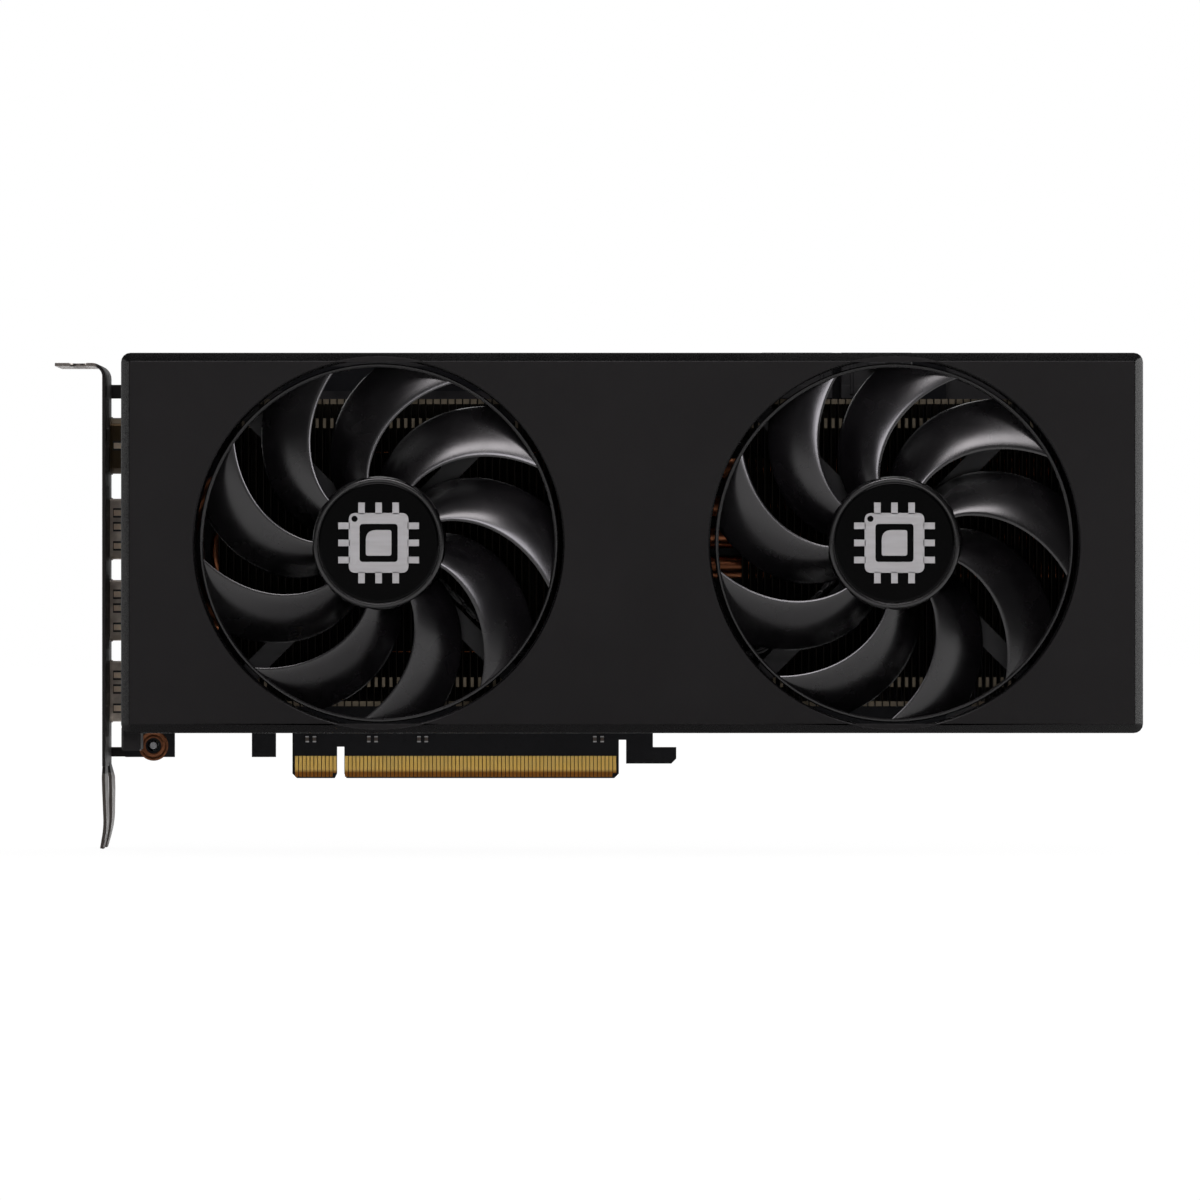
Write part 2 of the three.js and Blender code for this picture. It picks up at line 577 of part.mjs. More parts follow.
// The folded steel sheet: plate, outward flange with two screw notches, two tails, two inward ears.
function slotBracket() {
  const { outer, sheet, z } = BRACKET;
  const slotCentres = [FIRST_SLOT_Y, FIRST_SLOT_Y - SLOT_PITCH];
  const ears = [ear(BRACKET_EAR.lower, BRACKET_EAR.lowerNeck), ear(BRACKET_EAR.upper, BRACKET_EAR.upperNeck)];
  const body = join(foldedStrip(), slotCentres.map(tail), ears);

  const through = [outer - CUT, outer + sheet + CUT];
  const portWindow = (centre, half) =>
    box(through, [PORT.y[0] - 0.3, PORT.y[1] + 0.3], [centre - half, centre + half]);
  const windows = [portWindow(PORT_Z.wide, 7.6), ...PORT_Z.tall.map((centre) => portWindow(centre, 8.2))];
  const { columns, width, rows, bottom, pitch, height } = BRACKET_VENT;
  const vents = columns.flatMap((ventY) =>
    Array.from({ length: rows }, (_, i) => bottom + i * pitch).map((low) =>
      box(through, [ventY, ventY + width], [low, low + height]),
    ),
  );
  const middle = (slotCentres[0] + slotCentres[1]) / 2;
  const split = box([outer - 20, outer - 0.4], [middle - 0.9, middle + 0.9], [z[1] - 5, z[1] + 2]);
  const earTools = [BRACKET_EAR.y[0] - CUT, BRACKET_EAR.y[1] + CUT];
  const earHoles = EAR_SCREWS.map(([x, earZ]) => bar(x, earZ, BRACKET_EAR.hole, earTools, 12));
  return cut(body, windows, vents, slotCentres.map(flangeNotch), split, earHoles);
}

// --------------------------------------------------------------------------------------------------------
// Fans
// --------------------------------------------------------------------------------------------------------

const radians = (degrees) => (degrees * Math.PI) / 180;
const mix = (a, b, t) => a + (b - a) * t;

// One swept, twisted blade, lofted through sections of constant radius. Its clockwise edge leads.
function blade(rootAngle) {
  const sections = 5;
  const stations = [0, 0.12, 0.38, 0.7, 1]; // along the chord, from leading to trailing edge
  const rings = [];
  for (let i = 0; i < sections; i++) {
    const out = i / (sections - 1);
    const radius = mix(HUB.radius - 0.7, BLADE.tip, out);
    const leading = radians(rootAngle - BLADE.sweep * out ** BLADE.sweepPower);
    const chord = radians(mix(BLADE.chordRoot, BLADE.chordTip, out));
    const depth = (BLADE.back - BLADE.front) * mix(1, BLADE.shallowTip, out);
    const middle = (BLADE.front + BLADE.back) / 2;
    const thickness = mix(BLADE.thickRoot, BLADE.thickTip, out);
    const mean = (s) => [radius * (leading + chord * s), middle - depth / 2 + depth * s ** BLADE.camber];
    const side = (s, sign) => {
      const [a, b] = [mean(Math.max(s - 0.02, 0)), mean(Math.min(s + 0.02, 1))];
      const run = Math.hypot(b[0] - a[0], b[1] - a[1]);
      const half = (sign * thickness * (0.45 + 0.55 * Math.sin(Math.PI * Math.min(s * 1.3, 1)))) / 2;
      const [arc, y] = mean(s);
      return [arc - ((b[1] - a[1]) / run) * half, y + ((b[0] - a[0]) / run) * half];
    };
    const loop = [
      mean(0), ...stations.slice(1, -1).map((s) => side(s, -1)), mean(1),
      ...stations.slice(1, -1).reverse().map((s) => side(s, 1)),
    ];
    rings.push(loop.map(([arc, y]) => {
      const angle = arc / radius;
      return [radius * Math.cos(angle), y, radius * Math.sin(angle)];
    }));
  }
  return loft(rings);
}

// A closed solid through rings of equally many points.
function loft(rings) {
  const around = rings[0].length;
  const positions = rings.flat(2);
  const index = [];
  for (let i = 0; i + 1 < rings.length; i++) {
    for (let j = 0; j < around; j++) {
      const [a, b] = [i * around + j, i * around + ((j + 1) % around)];
      index.push(a, b, a + around, b, b + around, a + around);
    }
  }
  const last = (rings.length - 1) * around;
  // The end faces are strips across the chord, so that a hollow side stays hollow.
  for (let j = 1; j <= around / 2; j++) {
    const [a, b, c, d] = [j - 1, j, around - j, (around - j + 1) % around];
    if (b !== c) index.push(a, c, b);
    if (a !== d) index.push(a, d, c);
    if (b !== c) index.push(last + a, last + b, last + c);
    if (a !== d) index.push(last + a, last + c, last + d);
  }
  const geometry = new THREE.BufferGeometry();
  geometry.setAttribute("position", new THREE.Float32BufferAttribute(positions, 3));
  geometry.setIndex(index);
  return solid(geometry);
}

function rotor() {
  const { radius, wall, front, back, bevel } = HUB;
  const inner = radius - wall;
  const cup = turned(
    [[0, front], [radius - bevel, front], [radius, front + bevel], [radius, back], [inner, back],
      [inner, front + wall + 0.2], [0, front + wall + 0.2]],
    4 * BLADES,
  );
  const boss = bar(0, 0, BOSS.radius, [front + wall, BOSS.back], 16);
  const bore = bar(0, 0, SHAFT_RADIUS + SEAT, [front + wall + 0.2, BOSS.back + CUT], 20);
  const blades = Array.from({ length: BLADES }, (_, i) => blade((360 * i) / BLADES + BLADE.offset));
  const rim = ring(RIM.inner, RIM.outer, [RIM.front, RIM.back], 6 * BLADES);
  return cut(join(cup, boss, rim, blades), bore);
}

function stator() {
  const { radius, ring: core, poles, front, back } = STATOR;
  const parts = [ring(TUBE.radius + SEAT, core, [front, back], 20)];
  for (let i = 0; i < poles; i++) {
    const turn = (2 * Math.PI * i) / poles;
    const arm = new THREE.BoxGeometry(radius - core + 0.5, back - front - 1.4, STATOR.armWidth);
    parts.push(solid(arm.translate((radius + core) / 2 - 0.6, (front + back) / 2, 0).rotateY(turn)));
    const shoe = new THREE.BoxGeometry(1.2, back - front, STATOR.shoeWidth);
    parts.push(solid(shoe.translate(radius - 1.4, (front + back) / 2, 0).rotateY(turn)));
  }
  return join(parts);
}

// The fixed part of a fan: motor base, bearing tube and four arms, staked to the shroud's posts.
function fanFrame() {
  const { radius, front, back, arm, lug } = FRAME;
  const base = bar(0, 0, radius, [front, back], 28);
  const tube = bar(0, 0, TUBE.radius, [TUBE.front, back], 20);
  const reach = POST.reach;
  const half = arm / 2 / Math.SQRT2;
  const arms = CORNERS.map(([i, k]) =>
    plate(
      [
        [-i * half, k * half], [i * half, -k * half],
        [i * (reach + half), k * (reach - half)], [i * (reach - half), k * (reach + half)],
      ],
      [front, back],
    ),
  );
  const tools = [front - CUT, back + CUT];
  const lugs = CORNERS.map(([i, k]) => bar(i * reach, k * reach, lug, [front, back], 12));
  const holes = CORNERS.map(([i, k]) => bar(i * reach, k * reach, POST.stakeHole, tools, 10));
  const bore = bar(0, 0, TUBE.bore, [TUBE.front - CUT, back - 0.6], 20);
  return cut(join(base, tube, arms, lugs), holes, bore);
}

// A sheathed cable from the motor base, beside an arm, along the lower edge and down to the header. It
// sets off towards +X or -X, and its header contact is headerX from the fan's axis.
function fanCable(towards, headerX) {
  const { radius, y, fromArm, farRadius } = CABLE;
  const diagonal = (r) => [(towards * (r + fromArm)) / Math.SQRT2, (fromArm - r) / Math.SQRT2];
  const [x0, z0] = diagonal(FRAME.radius + 0.9);
  const [x1, z1] = diagonal(farRadius);
  const low = z1 - 1.2;
  const point = (x, along, z) => new THREE.Vector3(x, along, z);
  const waypoints = [
    point(x0, y, z0), point(x1, y, z1), point(x1 + towards * 2.5, y, low),
    point(headerX - towards * 2.4, y, low), point(headerX - towards * 0.7, y + 0.7, low),
    point(headerX, y + 2.4, low),
    point(headerX, HEADER.y[0] + HEADER.depth - 0.4, low),
  ];
  return rod(waypoints, radius, 8);
}

// A whole fan as a group placed on its spin axis. The rotor's pieces share one turned group.
function fan(side) {
  const fixed = new THREE.Group();
  fixed.position.set(FAN_X[side], 0, FAN_Z);
  const name = (what) => "fan_" + side + "_" + what;
  const bearing = ring(BEARING.bore, BEARING.radius, [BEARING.front, BEARING.back], 20);
  const cable = fanCable(side === "left" ? 1 : -1, CABLE.headerX[side] - FAN_X[side]);
  fixed.add(
    piece(name("frame"), fanFrame(), MATERIAL.fan),
    piece(name("stator"), stator(), MATERIAL.copper),
    piece(name("bearing"), bearing, MATERIAL.gold),
    piece(name("cable"), cable, MATERIAL.cable),
  );
  const spinning = new THREE.Group();
  spinning.rotation.y = -radians(ROTOR_PHASE[side]);
  const badge = bar(0, 0, BADGE.radius, [HUB.front - SEAT - BADGE.thickness, HUB.front - SEAT], 36);
  const shaft = bar(0, 0, SHAFT_RADIUS, [HUB.front + HUB.wall + 0.4, BEARING.back + 0.4], 20);
  const magnet = ring(MAGNET.inner, MAGNET.radius, [MAGNET.front, MAGNET.back], 28);
  spinning.add(
    piece(name("rotor"), rotor(), MATERIAL.fan),
    piece(name("badge"), badge, MATERIAL.badge),
    piece(name("shaft"), shaft, MATERIAL.steel),
    piece(name("magnet"), magnet, MATERIAL.magnet),
  );
  fixed.add(spinning);
  return fixed;
}

// --------------------------------------------------------------------------------------------------------
// Assembly
// --------------------------------------------------------------------------------------------------------

const numbered = (name, solids, material) =>
  solids.map((made, i) => piece(name + "_" + (i + 1), made, material));

function cardBody() {
  const card = new THREE.Group();
  const skin = BOARD.half + SEAT;
  card.add(
    piece("pcb", board(), MATERIAL.boardMask),
    piece("edge_contacts_front", contactFilm([-skin - SLOT.film, -skin]), MATERIAL.gold),
    piece("edge_contacts_back", contactFilm([skin, skin + SLOT.film]), MATERIAL.gold),
    piece("gpu_package", graphicsProcessor(), MATERIAL.chip),
    ...numbered("memory_chip", memoryChips(), MATERIAL.chip),
    ...numbered("choke", chokes(), MATERIAL.magnet),
    ...numbered("video_port", [widePort(), ...PORT_Z.tall.map(tallPort)], MATERIAL.nickel),
    ...numbered("power_socket", POWER.x.map(powerSocket), MATERIAL.socket),
    piece("fan_header", fanHeader(), MATERIAL.socket),
  );
  return card;
}

function cooler() {
  const group = new THREE.Group();
  group.add(
    piece("memory_plate", memoryPlate(), MATERIAL.aluminium),
    piece("cold_plate", basePlate(), MATERIAL.copper),
    piece("heat_pipe_1", bentPipe(PIPE_Z.outer), MATERIAL.copper),
    piece("heat_pipe_2", bentPipe(PIPE_Z.inner), MATERIAL.copper),
    piece("heat_pipe_3", straightPipe(PIPE_Z.straight[0]), MATERIAL.copper),
    piece("heat_pipe_4", straightPipe(PIPE_Z.straight[1]), MATERIAL.copper),
    piece("fin_stack_left", finStack(FIN_STACK.left), MATERIAL.aluminium),
    piece("fin_stack_right", finStack(FIN_STACK.right), MATERIAL.aluminium),
  );
  return group;
}

function casing() {
  const group = new THREE.Group();
  const onPlate = BACKPLATE.y[1] + SEAT;
  const plateTip = MEMORY_PLATE.y[0] + 0.2;
  const plateScrews = [
    ...PLATE_SCREWS.map((place) => screw(place, onPlate, plateTip)),
    ...END_POST.z.map((z) => screw([END_POST.x, z], onPlate, -4)),
  ];
  const springSeat = SPRING_BRACKET.y[1] + SEAT;
  const springScrews = SPRING_SCREWS.map((place) => screw(place, springSeat, -5.6, { head: 3 }));
  const earSeat = BRACKET_EAR.y[1] + SEAT;
  const earScrews = EAR_SCREWS.map((place) => screw(place, earSeat, -0.7, { head: 2.4, height: 1.2 }));
  group.add(
    piece("shroud", shroud(), MATERIAL.shroud),
    piece("backplate", backPlate(), MATERIAL.backplate),
    piece("spring_bracket", springBracket(), MATERIAL.steel),
    piece("io_bracket", slotBracket(), MATERIAL.steel),
    ...numbered("backplate_screw", plateScrews, MATERIAL.darkSteel),
    ...numbered("spring_screw", springScrews, MATERIAL.steel),
    ...numbered("bracket_screw", earScrews, MATERIAL.steel),
  );
  return group;
}

const graphicsCard = new THREE.Group();
graphicsCard.add(cardBody(), cooler(), casing(), ...FAN_SIDES.map(fan));

export default graphicsCard;
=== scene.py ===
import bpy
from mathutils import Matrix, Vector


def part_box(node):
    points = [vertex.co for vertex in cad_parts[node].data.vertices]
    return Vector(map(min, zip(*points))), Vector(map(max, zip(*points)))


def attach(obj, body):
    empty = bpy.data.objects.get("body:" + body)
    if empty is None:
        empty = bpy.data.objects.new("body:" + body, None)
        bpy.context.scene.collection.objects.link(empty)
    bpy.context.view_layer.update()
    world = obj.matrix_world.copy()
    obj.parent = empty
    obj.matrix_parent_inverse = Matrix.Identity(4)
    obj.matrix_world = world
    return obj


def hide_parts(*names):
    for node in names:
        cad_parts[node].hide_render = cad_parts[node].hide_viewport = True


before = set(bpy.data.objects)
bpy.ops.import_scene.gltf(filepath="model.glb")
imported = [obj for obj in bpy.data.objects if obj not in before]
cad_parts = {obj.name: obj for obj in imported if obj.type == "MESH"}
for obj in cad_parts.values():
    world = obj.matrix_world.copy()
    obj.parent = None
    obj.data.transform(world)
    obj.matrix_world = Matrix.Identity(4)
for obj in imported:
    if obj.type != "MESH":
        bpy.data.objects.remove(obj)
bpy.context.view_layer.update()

import math

import bmesh
import bpy
from mathutils import Vector
from mathutils.geometry import tessellate_polygon

# A graphics card with two fans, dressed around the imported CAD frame. Shapes are worked out in millimetres,
# which MM turns into metres. +X runs along the card, the fans face -Y, and +Z is up.

MM = 0.001


# --- Sizes read from the frame, in millimetres ---

def cad(node):
    """The lowest and highest corner of a CAD node, in millimetres."""
    low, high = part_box(node)
    return Vector(low) / MM, Vector(high) / MM


def centre_of(node):
    low, high = cad(node)
    return (low + high) / 2


def spot_of(node):
    spot = centre_of(node)
    return spot.x, spot.z


SIDES = ("left", "right")
FAN_SPOT = {side: spot_of("fan_%s_magnet" % side) for side in SIDES}
RIM_RADIUS = (cad("fan_left_rotor")[1].x - cad("fan_left_rotor")[0].x) / 2
SHROUD_LOW, SHROUD_HIGH = cad("shroud")


# --- Mesh building ---

def circle(radius, sides, centre):
    angles = [2 * math.pi / sides * i for i in range(sides)]
    return [(centre[0] + radius * math.cos(a), centre[1] + radius * math.sin(a)) for a in angles]


def area(loop):
    pairs = zip(loop, loop[1:] + loop[:1])
    return sum(a[0] * b[1] - b[0] * a[1] for a, b in pairs) / 2


def grow(loop, distance):
    """The loop with each side moved outwards by distance, its corners mitred. Loops run counter-clockwise."""
    moved = []
    for i, here in enumerate(loop):
        before = Vector(loop[i - 1])
        after = Vector(loop[(i + 1) % len(loop)])
        point = Vector(here)
        into = (point - before).normalized()
        out = (after - point).normalized()
        normal = Vector((into.y + out.y, -into.x - out.x)).normalized()
        share = max(0.35, normal.dot(Vector((into.y, -into.x))))
        moved.append(tuple(point + normal * distance / share))
    return moved


def rounded(corners, radius, steps=3):
    """A polygon with its corners rounded by arcs. radius is one number, or one for each corner."""
    loop = []
    for i, here in enumerate(corners):
        r = radius[i] if isinstance(radius, (list, tuple)) else radius
        point = Vector(here)
        back = Vector(corners[i - 1]) - point
        ahead = Vector(corners[(i + 1) % len(corners)]) - point
        reach = min(r, back.length * 0.45, ahead.length * 0.45)
        if reach < 0.02:
            loop.append(tuple(point))
            continue
        first = point + back.normalized() * reach
        last = point + ahead.normalized() * reach
        for k in range(steps + 1):
            t = k / steps
            loop.append(tuple(first * (1 - t) ** 2 + point * 2 * t * (1 - t) + last * t ** 2))
    return loop


def rectangle(x0, x1, z0, z1):
    return [(x0, z0), (x1, z0), (x1, z1), (x0, z1)]


def square(centre, half):
    return rectangle(centre[0] - half, centre[0] + half, centre[1] - half, centre[1] + half)


def arc(centre, radius, start, end, steps):
    """Points along an arc, its start and end in degrees."""
    angles = [math.radians(start + (end - start) * k / steps) for k in range(steps + 1)]
    return [(centre[0] + radius * math.cos(a), centre[1] + radius * math.sin(a)) for a in angles]


def heading(path, i):
    """The direction of an open path at its point number i."""
    return (Vector(path[min(i + 1, len(path) - 1)]) - Vector(path[max(i - 1, 0)])).normalized()


def ribbon(path, width):
    """The outline of a strip of even width along an open path."""
    left, right = [], []
    for i, here in enumerate(path):
        ahead = heading(path, i)
        side = Vector((-ahead.y, ahead.x)) * width / 2
        left.append(tuple(Vector(here) + side))
        right.append(tuple(Vector(here) - side))
    return right + left[::-1]


def four_turns(points, centre):
    """The points as they are, then turned by one, two and three quarters about a centre."""
    turned = []
    for quarter in range(4):
        c, s = math.cos(quarter * math.pi / 2), math.sin(quarter * math.pi / 2)
        turned += [(centre[0] + x * c - z * s, centre[1] + x * s + z * c) for x, z in points]
    return turned


AXES = {
    "x": lambda a, b, depth: (depth, a, b),
    "y": lambda a, b, depth: (a, depth, b),
    "z": lambda a, b, depth: (a, b, depth),
}


class Build:
    """Gathers closed shapes, in millimetres, into one mesh."""

    def __init__(self):
        self.verts = []
        self.faces = []

    def add(self, verts, faces):
        base = len(self.verts)
        self.verts.extend(verts)
        self.faces.extend([tuple(base + i for i in face) for face in faces])
        return self

    def strip(self, rings, closed=True):
        """Quads between rings of equally many points. The ends stay open."""
        count = len(rings[0])
        verts = [point for ring in rings for point in ring]
        faces = []
        for i in range(len(rings) - 1):
            for j in range(count if closed else count - 1):
                k = (j + 1) % count
                faces.append((i * count + j, i * count + k, (i + 1) * count + k, (i + 1) * count + j))
        return self.add(verts, faces)

    def cap(self, loops, place):
        """A flat face between an outer loop and the loops of its holes."""
        triangles = tessellate_polygon([[Vector((a, b, 0)) for a, b in loop] for loop in loops])
        flat = [point for loop in loops for point in loop]
        return self.add([place(a, b) for a, b in flat], [tuple(t) for t in triangles])

    def plate(self, outer, low, high, holes=(), edge=0.15, axis="y", steps=2):
        """A slab along axis with the given outline and holes, all its edges rounded by edge."""
        to3d = AXES[axis]
        loops = [outer if area(outer) > 0 else outer[::-1]]
        loops += [hole if area(hole) < 0 else hole[::-1] for hole in holes]
        section = []
        for k in range(steps + 1):
            angle = math.pi / 2 * k / steps
            section.append((-edge * (1 - math.sin(angle)), edge * (1 - math.cos(angle))))
        levels = [(inset, low + drop) for inset, drop in section]
        levels += [(inset, high - drop) for inset, drop in reversed(section)]
        for loop in loops:
            self.strip([[to3d(a, b, level) for a, b in grow(loop, inset)] for inset, level in levels])
        inner = [grow(loop, -edge) for loop in loops]
        self.cap(inner, lambda a, b: to3d(a, b, low))
        self.cap(inner, lambda a, b: to3d(a, b, high))
        return self

    def block(self, low, high, edge):
        """A box with rounded edges."""
        edge = min(edge, *((b - a) * 0.45 for a, b in zip(low, high)))
        outline = rounded(rectangle(low[0], high[0], low[2], high[2]), edge, 1)
        return self.plate(outline, low[1], high[1], edge=edge, steps=1)

    def bare_block(self, low, high):
        """A box with plain edges, for the smallest things."""
        verts = [(x, y, z) for x in (low[0], high[0]) for y in (low[1], high[1]) for z in (low[2], high[2])]
        faces = [(0, 1, 3, 2), (4, 6, 7, 5), (0, 4, 5, 1), (2, 3, 7, 6), (0, 2, 6, 4), (1, 5, 7, 3)]
        return self.add(verts, faces)

    def lathe(self, profile, centre, sides):
        """A piece turned about Y through centre (x, z). Its (radius, y) profile closes or meets the axis."""
        rings = []
        for i in range(sides):
            angle = 2 * math.pi * i / sides
            c, s = math.cos(angle), math.sin(angle)
            rings.append([(centre[0] + r * c, y, centre[1] + r * s) for r, y in profile])
        rings.append(rings[0])
        return self.strip(rings, closed=profile[0][0] > 0)

    def tube(self, path, radius, sides):
        """A round rod along points, with domed ends."""
        path = [Vector(p) for p in path]
        rings = []
        normal = None
        for i, point in enumerate(path):
            ahead = heading(path, i)
            if normal is None:
                normal = ahead.orthogonal().normalized()
            normal = (normal - ahead * normal.dot(ahead)).normalized()
            side = ahead.cross(normal)
            turns = [2 * math.pi * k / sides for k in range(sides)]
            rings.append([tuple(point + (normal * math.cos(a) + side * math.sin(a)) * radius) for a in turns])
        for end, sign in ((0, -1), (-1, 1)):
            ahead = (path[1] - path[0]).normalized() if end == 0 else (path[-1] - path[-2]).normalized()
            middle = path[end] + ahead * sign * radius * 0.35
            dome = [tuple(path[end].lerp(Vector(p), 0.7) + ahead * sign * radius * 0.25) for p in rings[end]]
            tip = [tuple(middle)] * sides
            rings = [tip, dome] + rings if end == 0 else rings + [dome, tip]
        return self.strip(rings)

    def object(self, name, material, body="card", replaces=None, slot=None, sharp=35.0):
        """The gathered mesh as one piece of the scene, riding on a body."""
        mesh = bpy.data.meshes.new(name)
        mesh.from_pydata([(x * MM, y * MM, z * MM) for x, y, z in self.verts], [], self.faces)
        clean(mesh)
        piece = new_object(name, mesh)
        smooth(mesh, sharp)
        keep_flats(piece)
        mesh.materials.append(material)
        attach(piece, body)
        if replaces:
            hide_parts(replaces)


def new_object(name, data):
    made = bpy.data.objects.new(name, data)
    bpy.context.scene.collection.objects.link(made)
    return made


def clean(mesh):
    """Merges doubled points and turns every face outwards."""
    work = bmesh.new()
    work.from_mesh(mesh)
    bmesh.ops.remove_doubles(work, verts=work.verts, dist=0.002 * MM)
    bmesh.ops.dissolve_degenerate(work, edges=work.edges, dist=0.0005 * MM)
    bmesh.ops.recalc_face_normals(work, faces=work.faces)
    work.to_mesh(mesh)
    work.free()


def smooth(mesh, sharp):
    mesh.polygons.foreach_set("use_smooth", [True] * len(mesh.polygons))
    mesh.set_sharp_from_angle(angle=math.radians(sharp))


def keep_flats(piece):
    """Lets large faces rule the shading, so that flats stay flat right up to their rounded edges."""
    weighting = piece.modifiers.new("flat_shading", "WEIGHTED_NORMAL")
    weighting.keep_sharp = True


# --- Materials ---

class Nodes:
    """Short names for making and joining the nodes of a material or a world."""

    def __init__(self, owner):
        owner.use_nodes = True
        self.tree = owner.node_tree
        self.nodes = self.tree.nodes

    def node(self, kind):
        return self.nodes.new("ShaderNode" + kind)

    def link(self, source, target):
        self.tree.links.new(source, target)

    def feed(self, node, given):
        """Sets a node's inputs, by number or name, to numbers or links. Returns its first output."""
        for key, value in given.items():
            if isinstance(value, (int, float, tuple)):
                node.inputs[key].default_value = value
            elif value:
                self.link(value, node.inputs[key])
        return node.outputs[0]

    def maths(self, operation, first, second):
        node = self.node("Math")
        node.operation = operation
        return self.feed(node, {0: first, 1: second})

    def ramp(self, value, low, high, start=0.0, end=1.0):
        return self.feed(self.node("MapRange"), {
            "Value": value, "From Min": low, "From Max": high, "To Min": start, "To Max": end,
        })

    def part(self, vector, axis):
        """One coordinate of a vector."""
        split = self.node("SeparateXYZ")
        self.link(vector, split.inputs[0])
        return split.outputs[axis]

    def either(self, share, first, second):
        """Two shaders mixed: the second one's share rises from 0 to 1."""
        return self.feed(self.node("MixShader"), {0: share, 1: first, 2: second})


class Finish(Nodes):
    """A node material whose colour, roughness and bump vary with place, in object coordinates (metres)."""

    def __init__(self, name, color, roughness, metallic=0.0, specular=0.5):
        self.material = bpy.data.materials.new(name)
        super().__init__(self.material)
        self.shader = self.nodes["Principled BSDF"]
        self.feed(self.shader, {"Metallic": metallic, "Specular IOR Level": specular})
        self.place = self.node("TexCoord").outputs["Object"]
        self.color = self.node("RGB").outputs[0]
        self.color.default_value = (*color, 1)
        self.roughness = self.node("Value").outputs[0]
        self.roughness.default_value = roughness
        self.normal = None

    def noise(self, size, detail=2.0, stretch=(1, 1, 1)):
        """Noise with features of about size millimetres, drawn out along each axis by stretch."""
        scale = tuple(1 / (size * MM * s) for s in stretch)
        scaled = self.feed(self.node("Mapping"), {"Vector": self.place, "Scale": scale})
        return self.feed(self.node("TexNoise"), {"Vector": scaled, "Scale": 1.0, "Detail": detail})

    def blend_color(self, factor, other):
        node = self.node("Mix")
        node.data_type = "RGBA"
        self.feed(node, {"Factor": factor, "A": self.color, "B": (*other, 1)})
        self.color = node.outputs["Result"]
        return self

    def mottle(self, size, color, share=0.5, roughness=0.0, detail=3.0, stretch=(1, 1, 1)):
        """Cloudy patches of another colour and another roughness."""
        cloud = self.ramp(self.noise(size, detail, stretch), 0.35, 0.65)
        self.blend_color(self.maths("MULTIPLY", cloud, share), color)
        if roughness:
            swing = self.maths("MULTIPLY", self.maths("SUBTRACT", cloud, 0.5), roughness)
            self.roughness = self.maths("ADD", self.roughness, swing)
        return self

    def bump(self, height, depth):
        given = {"Strength": 1.0, "Distance": depth * MM, "Height": height, "Normal": self.normal}
        self.normal = self.feed(self.node("Bump"), given)
        return self

    def grain(self, size, depth, stretch=(1, 1, 1)):
        return self.bump(self.noise(size, stretch=stretch), depth)

    def worn(self, color, share, width):
        """Edges rubbed to another colour, found where a rounded normal leaves the true one."""
        soft = self.node("Bevel")
        soft.samples = 4
        dot = self.node("VectorMath")
        dot.operation = "DOT_PRODUCT"
        true = self.node("NewGeometry").outputs["Normal"]
        self.feed(dot, {0: self.feed(soft, {"Radius": width * MM}), 1: true})
        edge = self.ramp(dot.outputs["Value"], 0.995, 0.85)
        patchy = self.maths("MULTIPLY", edge, self.ramp(self.noise(1.5), 0.35, 0.6))
        self.blend_color(self.maths("MULTIPLY", patchy, share), color)
        self.roughness = self.maths("ADD", self.roughness, self.maths("MULTIPLY", patchy, -0.1))
        return self

    def coat(self, weight, roughness):
        self.feed(self.shader, {"Coat Weight": weight, "Coat Roughness": roughness})
        return self

    def done(self):
        self.feed(self.shader, {"Base Color": self.color, "Roughness": self.roughness, "Normal": self.normal})
        return self.material


def shroud_finish():
    """Near-black moulded plastic with a fine spark-eroded grain. The bevels round its face are polished and
    painted darker: painted shade.
    """
    finish = Finish("shroud_plastic", (0.0125, 0.0117, 0.012), 0.58, specular=0.17)
    finish.mottle(30, (0.0088, 0.0083, 0.0085), 0.5, roughness=0.06)
    finish.mottle(0.4, (0.0112, 0.0107, 0.011), 0.25, roughness=0.1, detail=1.0)
    depth = finish.part(finish.place, "Y")
    near = finish.ramp(depth, (SHROUD_LOW.y + 2.6) * MM, (SHROUD_LOW.y + 2.3) * MM)
    facing = finish.part(finish.node("NewGeometry").outputs["Normal"], "Y")
    tilted = finish.ramp(facing, -0.99, -0.93)
    bevel = finish.maths("MULTIPLY", near, tilted)
    # Painted shade: the tilted bevels round the face are coloured almost black.
    finish.blend_color(bevel, (0.0016, 0.0015, 0.0016))
    finish.roughness = finish.maths("SUBTRACT", finish.roughness, finish.maths("MULTIPLY", bevel, 0.3))
    finish.grain(0.22, 0.012).grain(1.4, 0.006)
    return finish.worn((0.03, 0.029, 0.03), 0.4, 0.25).done()


def fan_finish():
    """Satin black, as glass-filled fan plastic is."""
    finish = Finish("fan_plastic", (0.0016, 0.0014, 0.0017), 0.26, specular=0.75)
    finish.mottle(9, (0.003, 0.0026, 0.003), 0.5, roughness=0.05)
    finish.grain(0.5, 0.003)
    return finish.worn((0.03, 0.028, 0.03), 0.3, 0.2).done()


def frame_finish():
    finish = Finish("frame_plastic", (0.010, 0.010, 0.011), 0.5, specular=0.35)
    finish.mottle(5, (0.016, 0.016, 0.017), 0.5, roughness=0.1)
    return finish.grain(0.3, 0.012).done()


def badge_finish():
    finish = Finish("badge_gloss", (0.0004, 0.0004, 0.0005), 0.2, specular=0.06)
    finish.mottle(12, (0.0009, 0.0009, 0.001), 0.4, roughness=0.03)
    return finish.coat(0.04, 0.08).grain(8, 0.002).done()


def silver_print_finish():
    finish = Finish("silver_inlay", (0.5, 0.495, 0.5), 0.42, metallic=0.35)
    finish.mottle(1.2, (0.6, 0.6, 0.61), 0.5, roughness=0.1, stretch=(8, 1, 1))
    return finish.grain(0.15, 0.004, stretch=(10, 1, 1)).done()


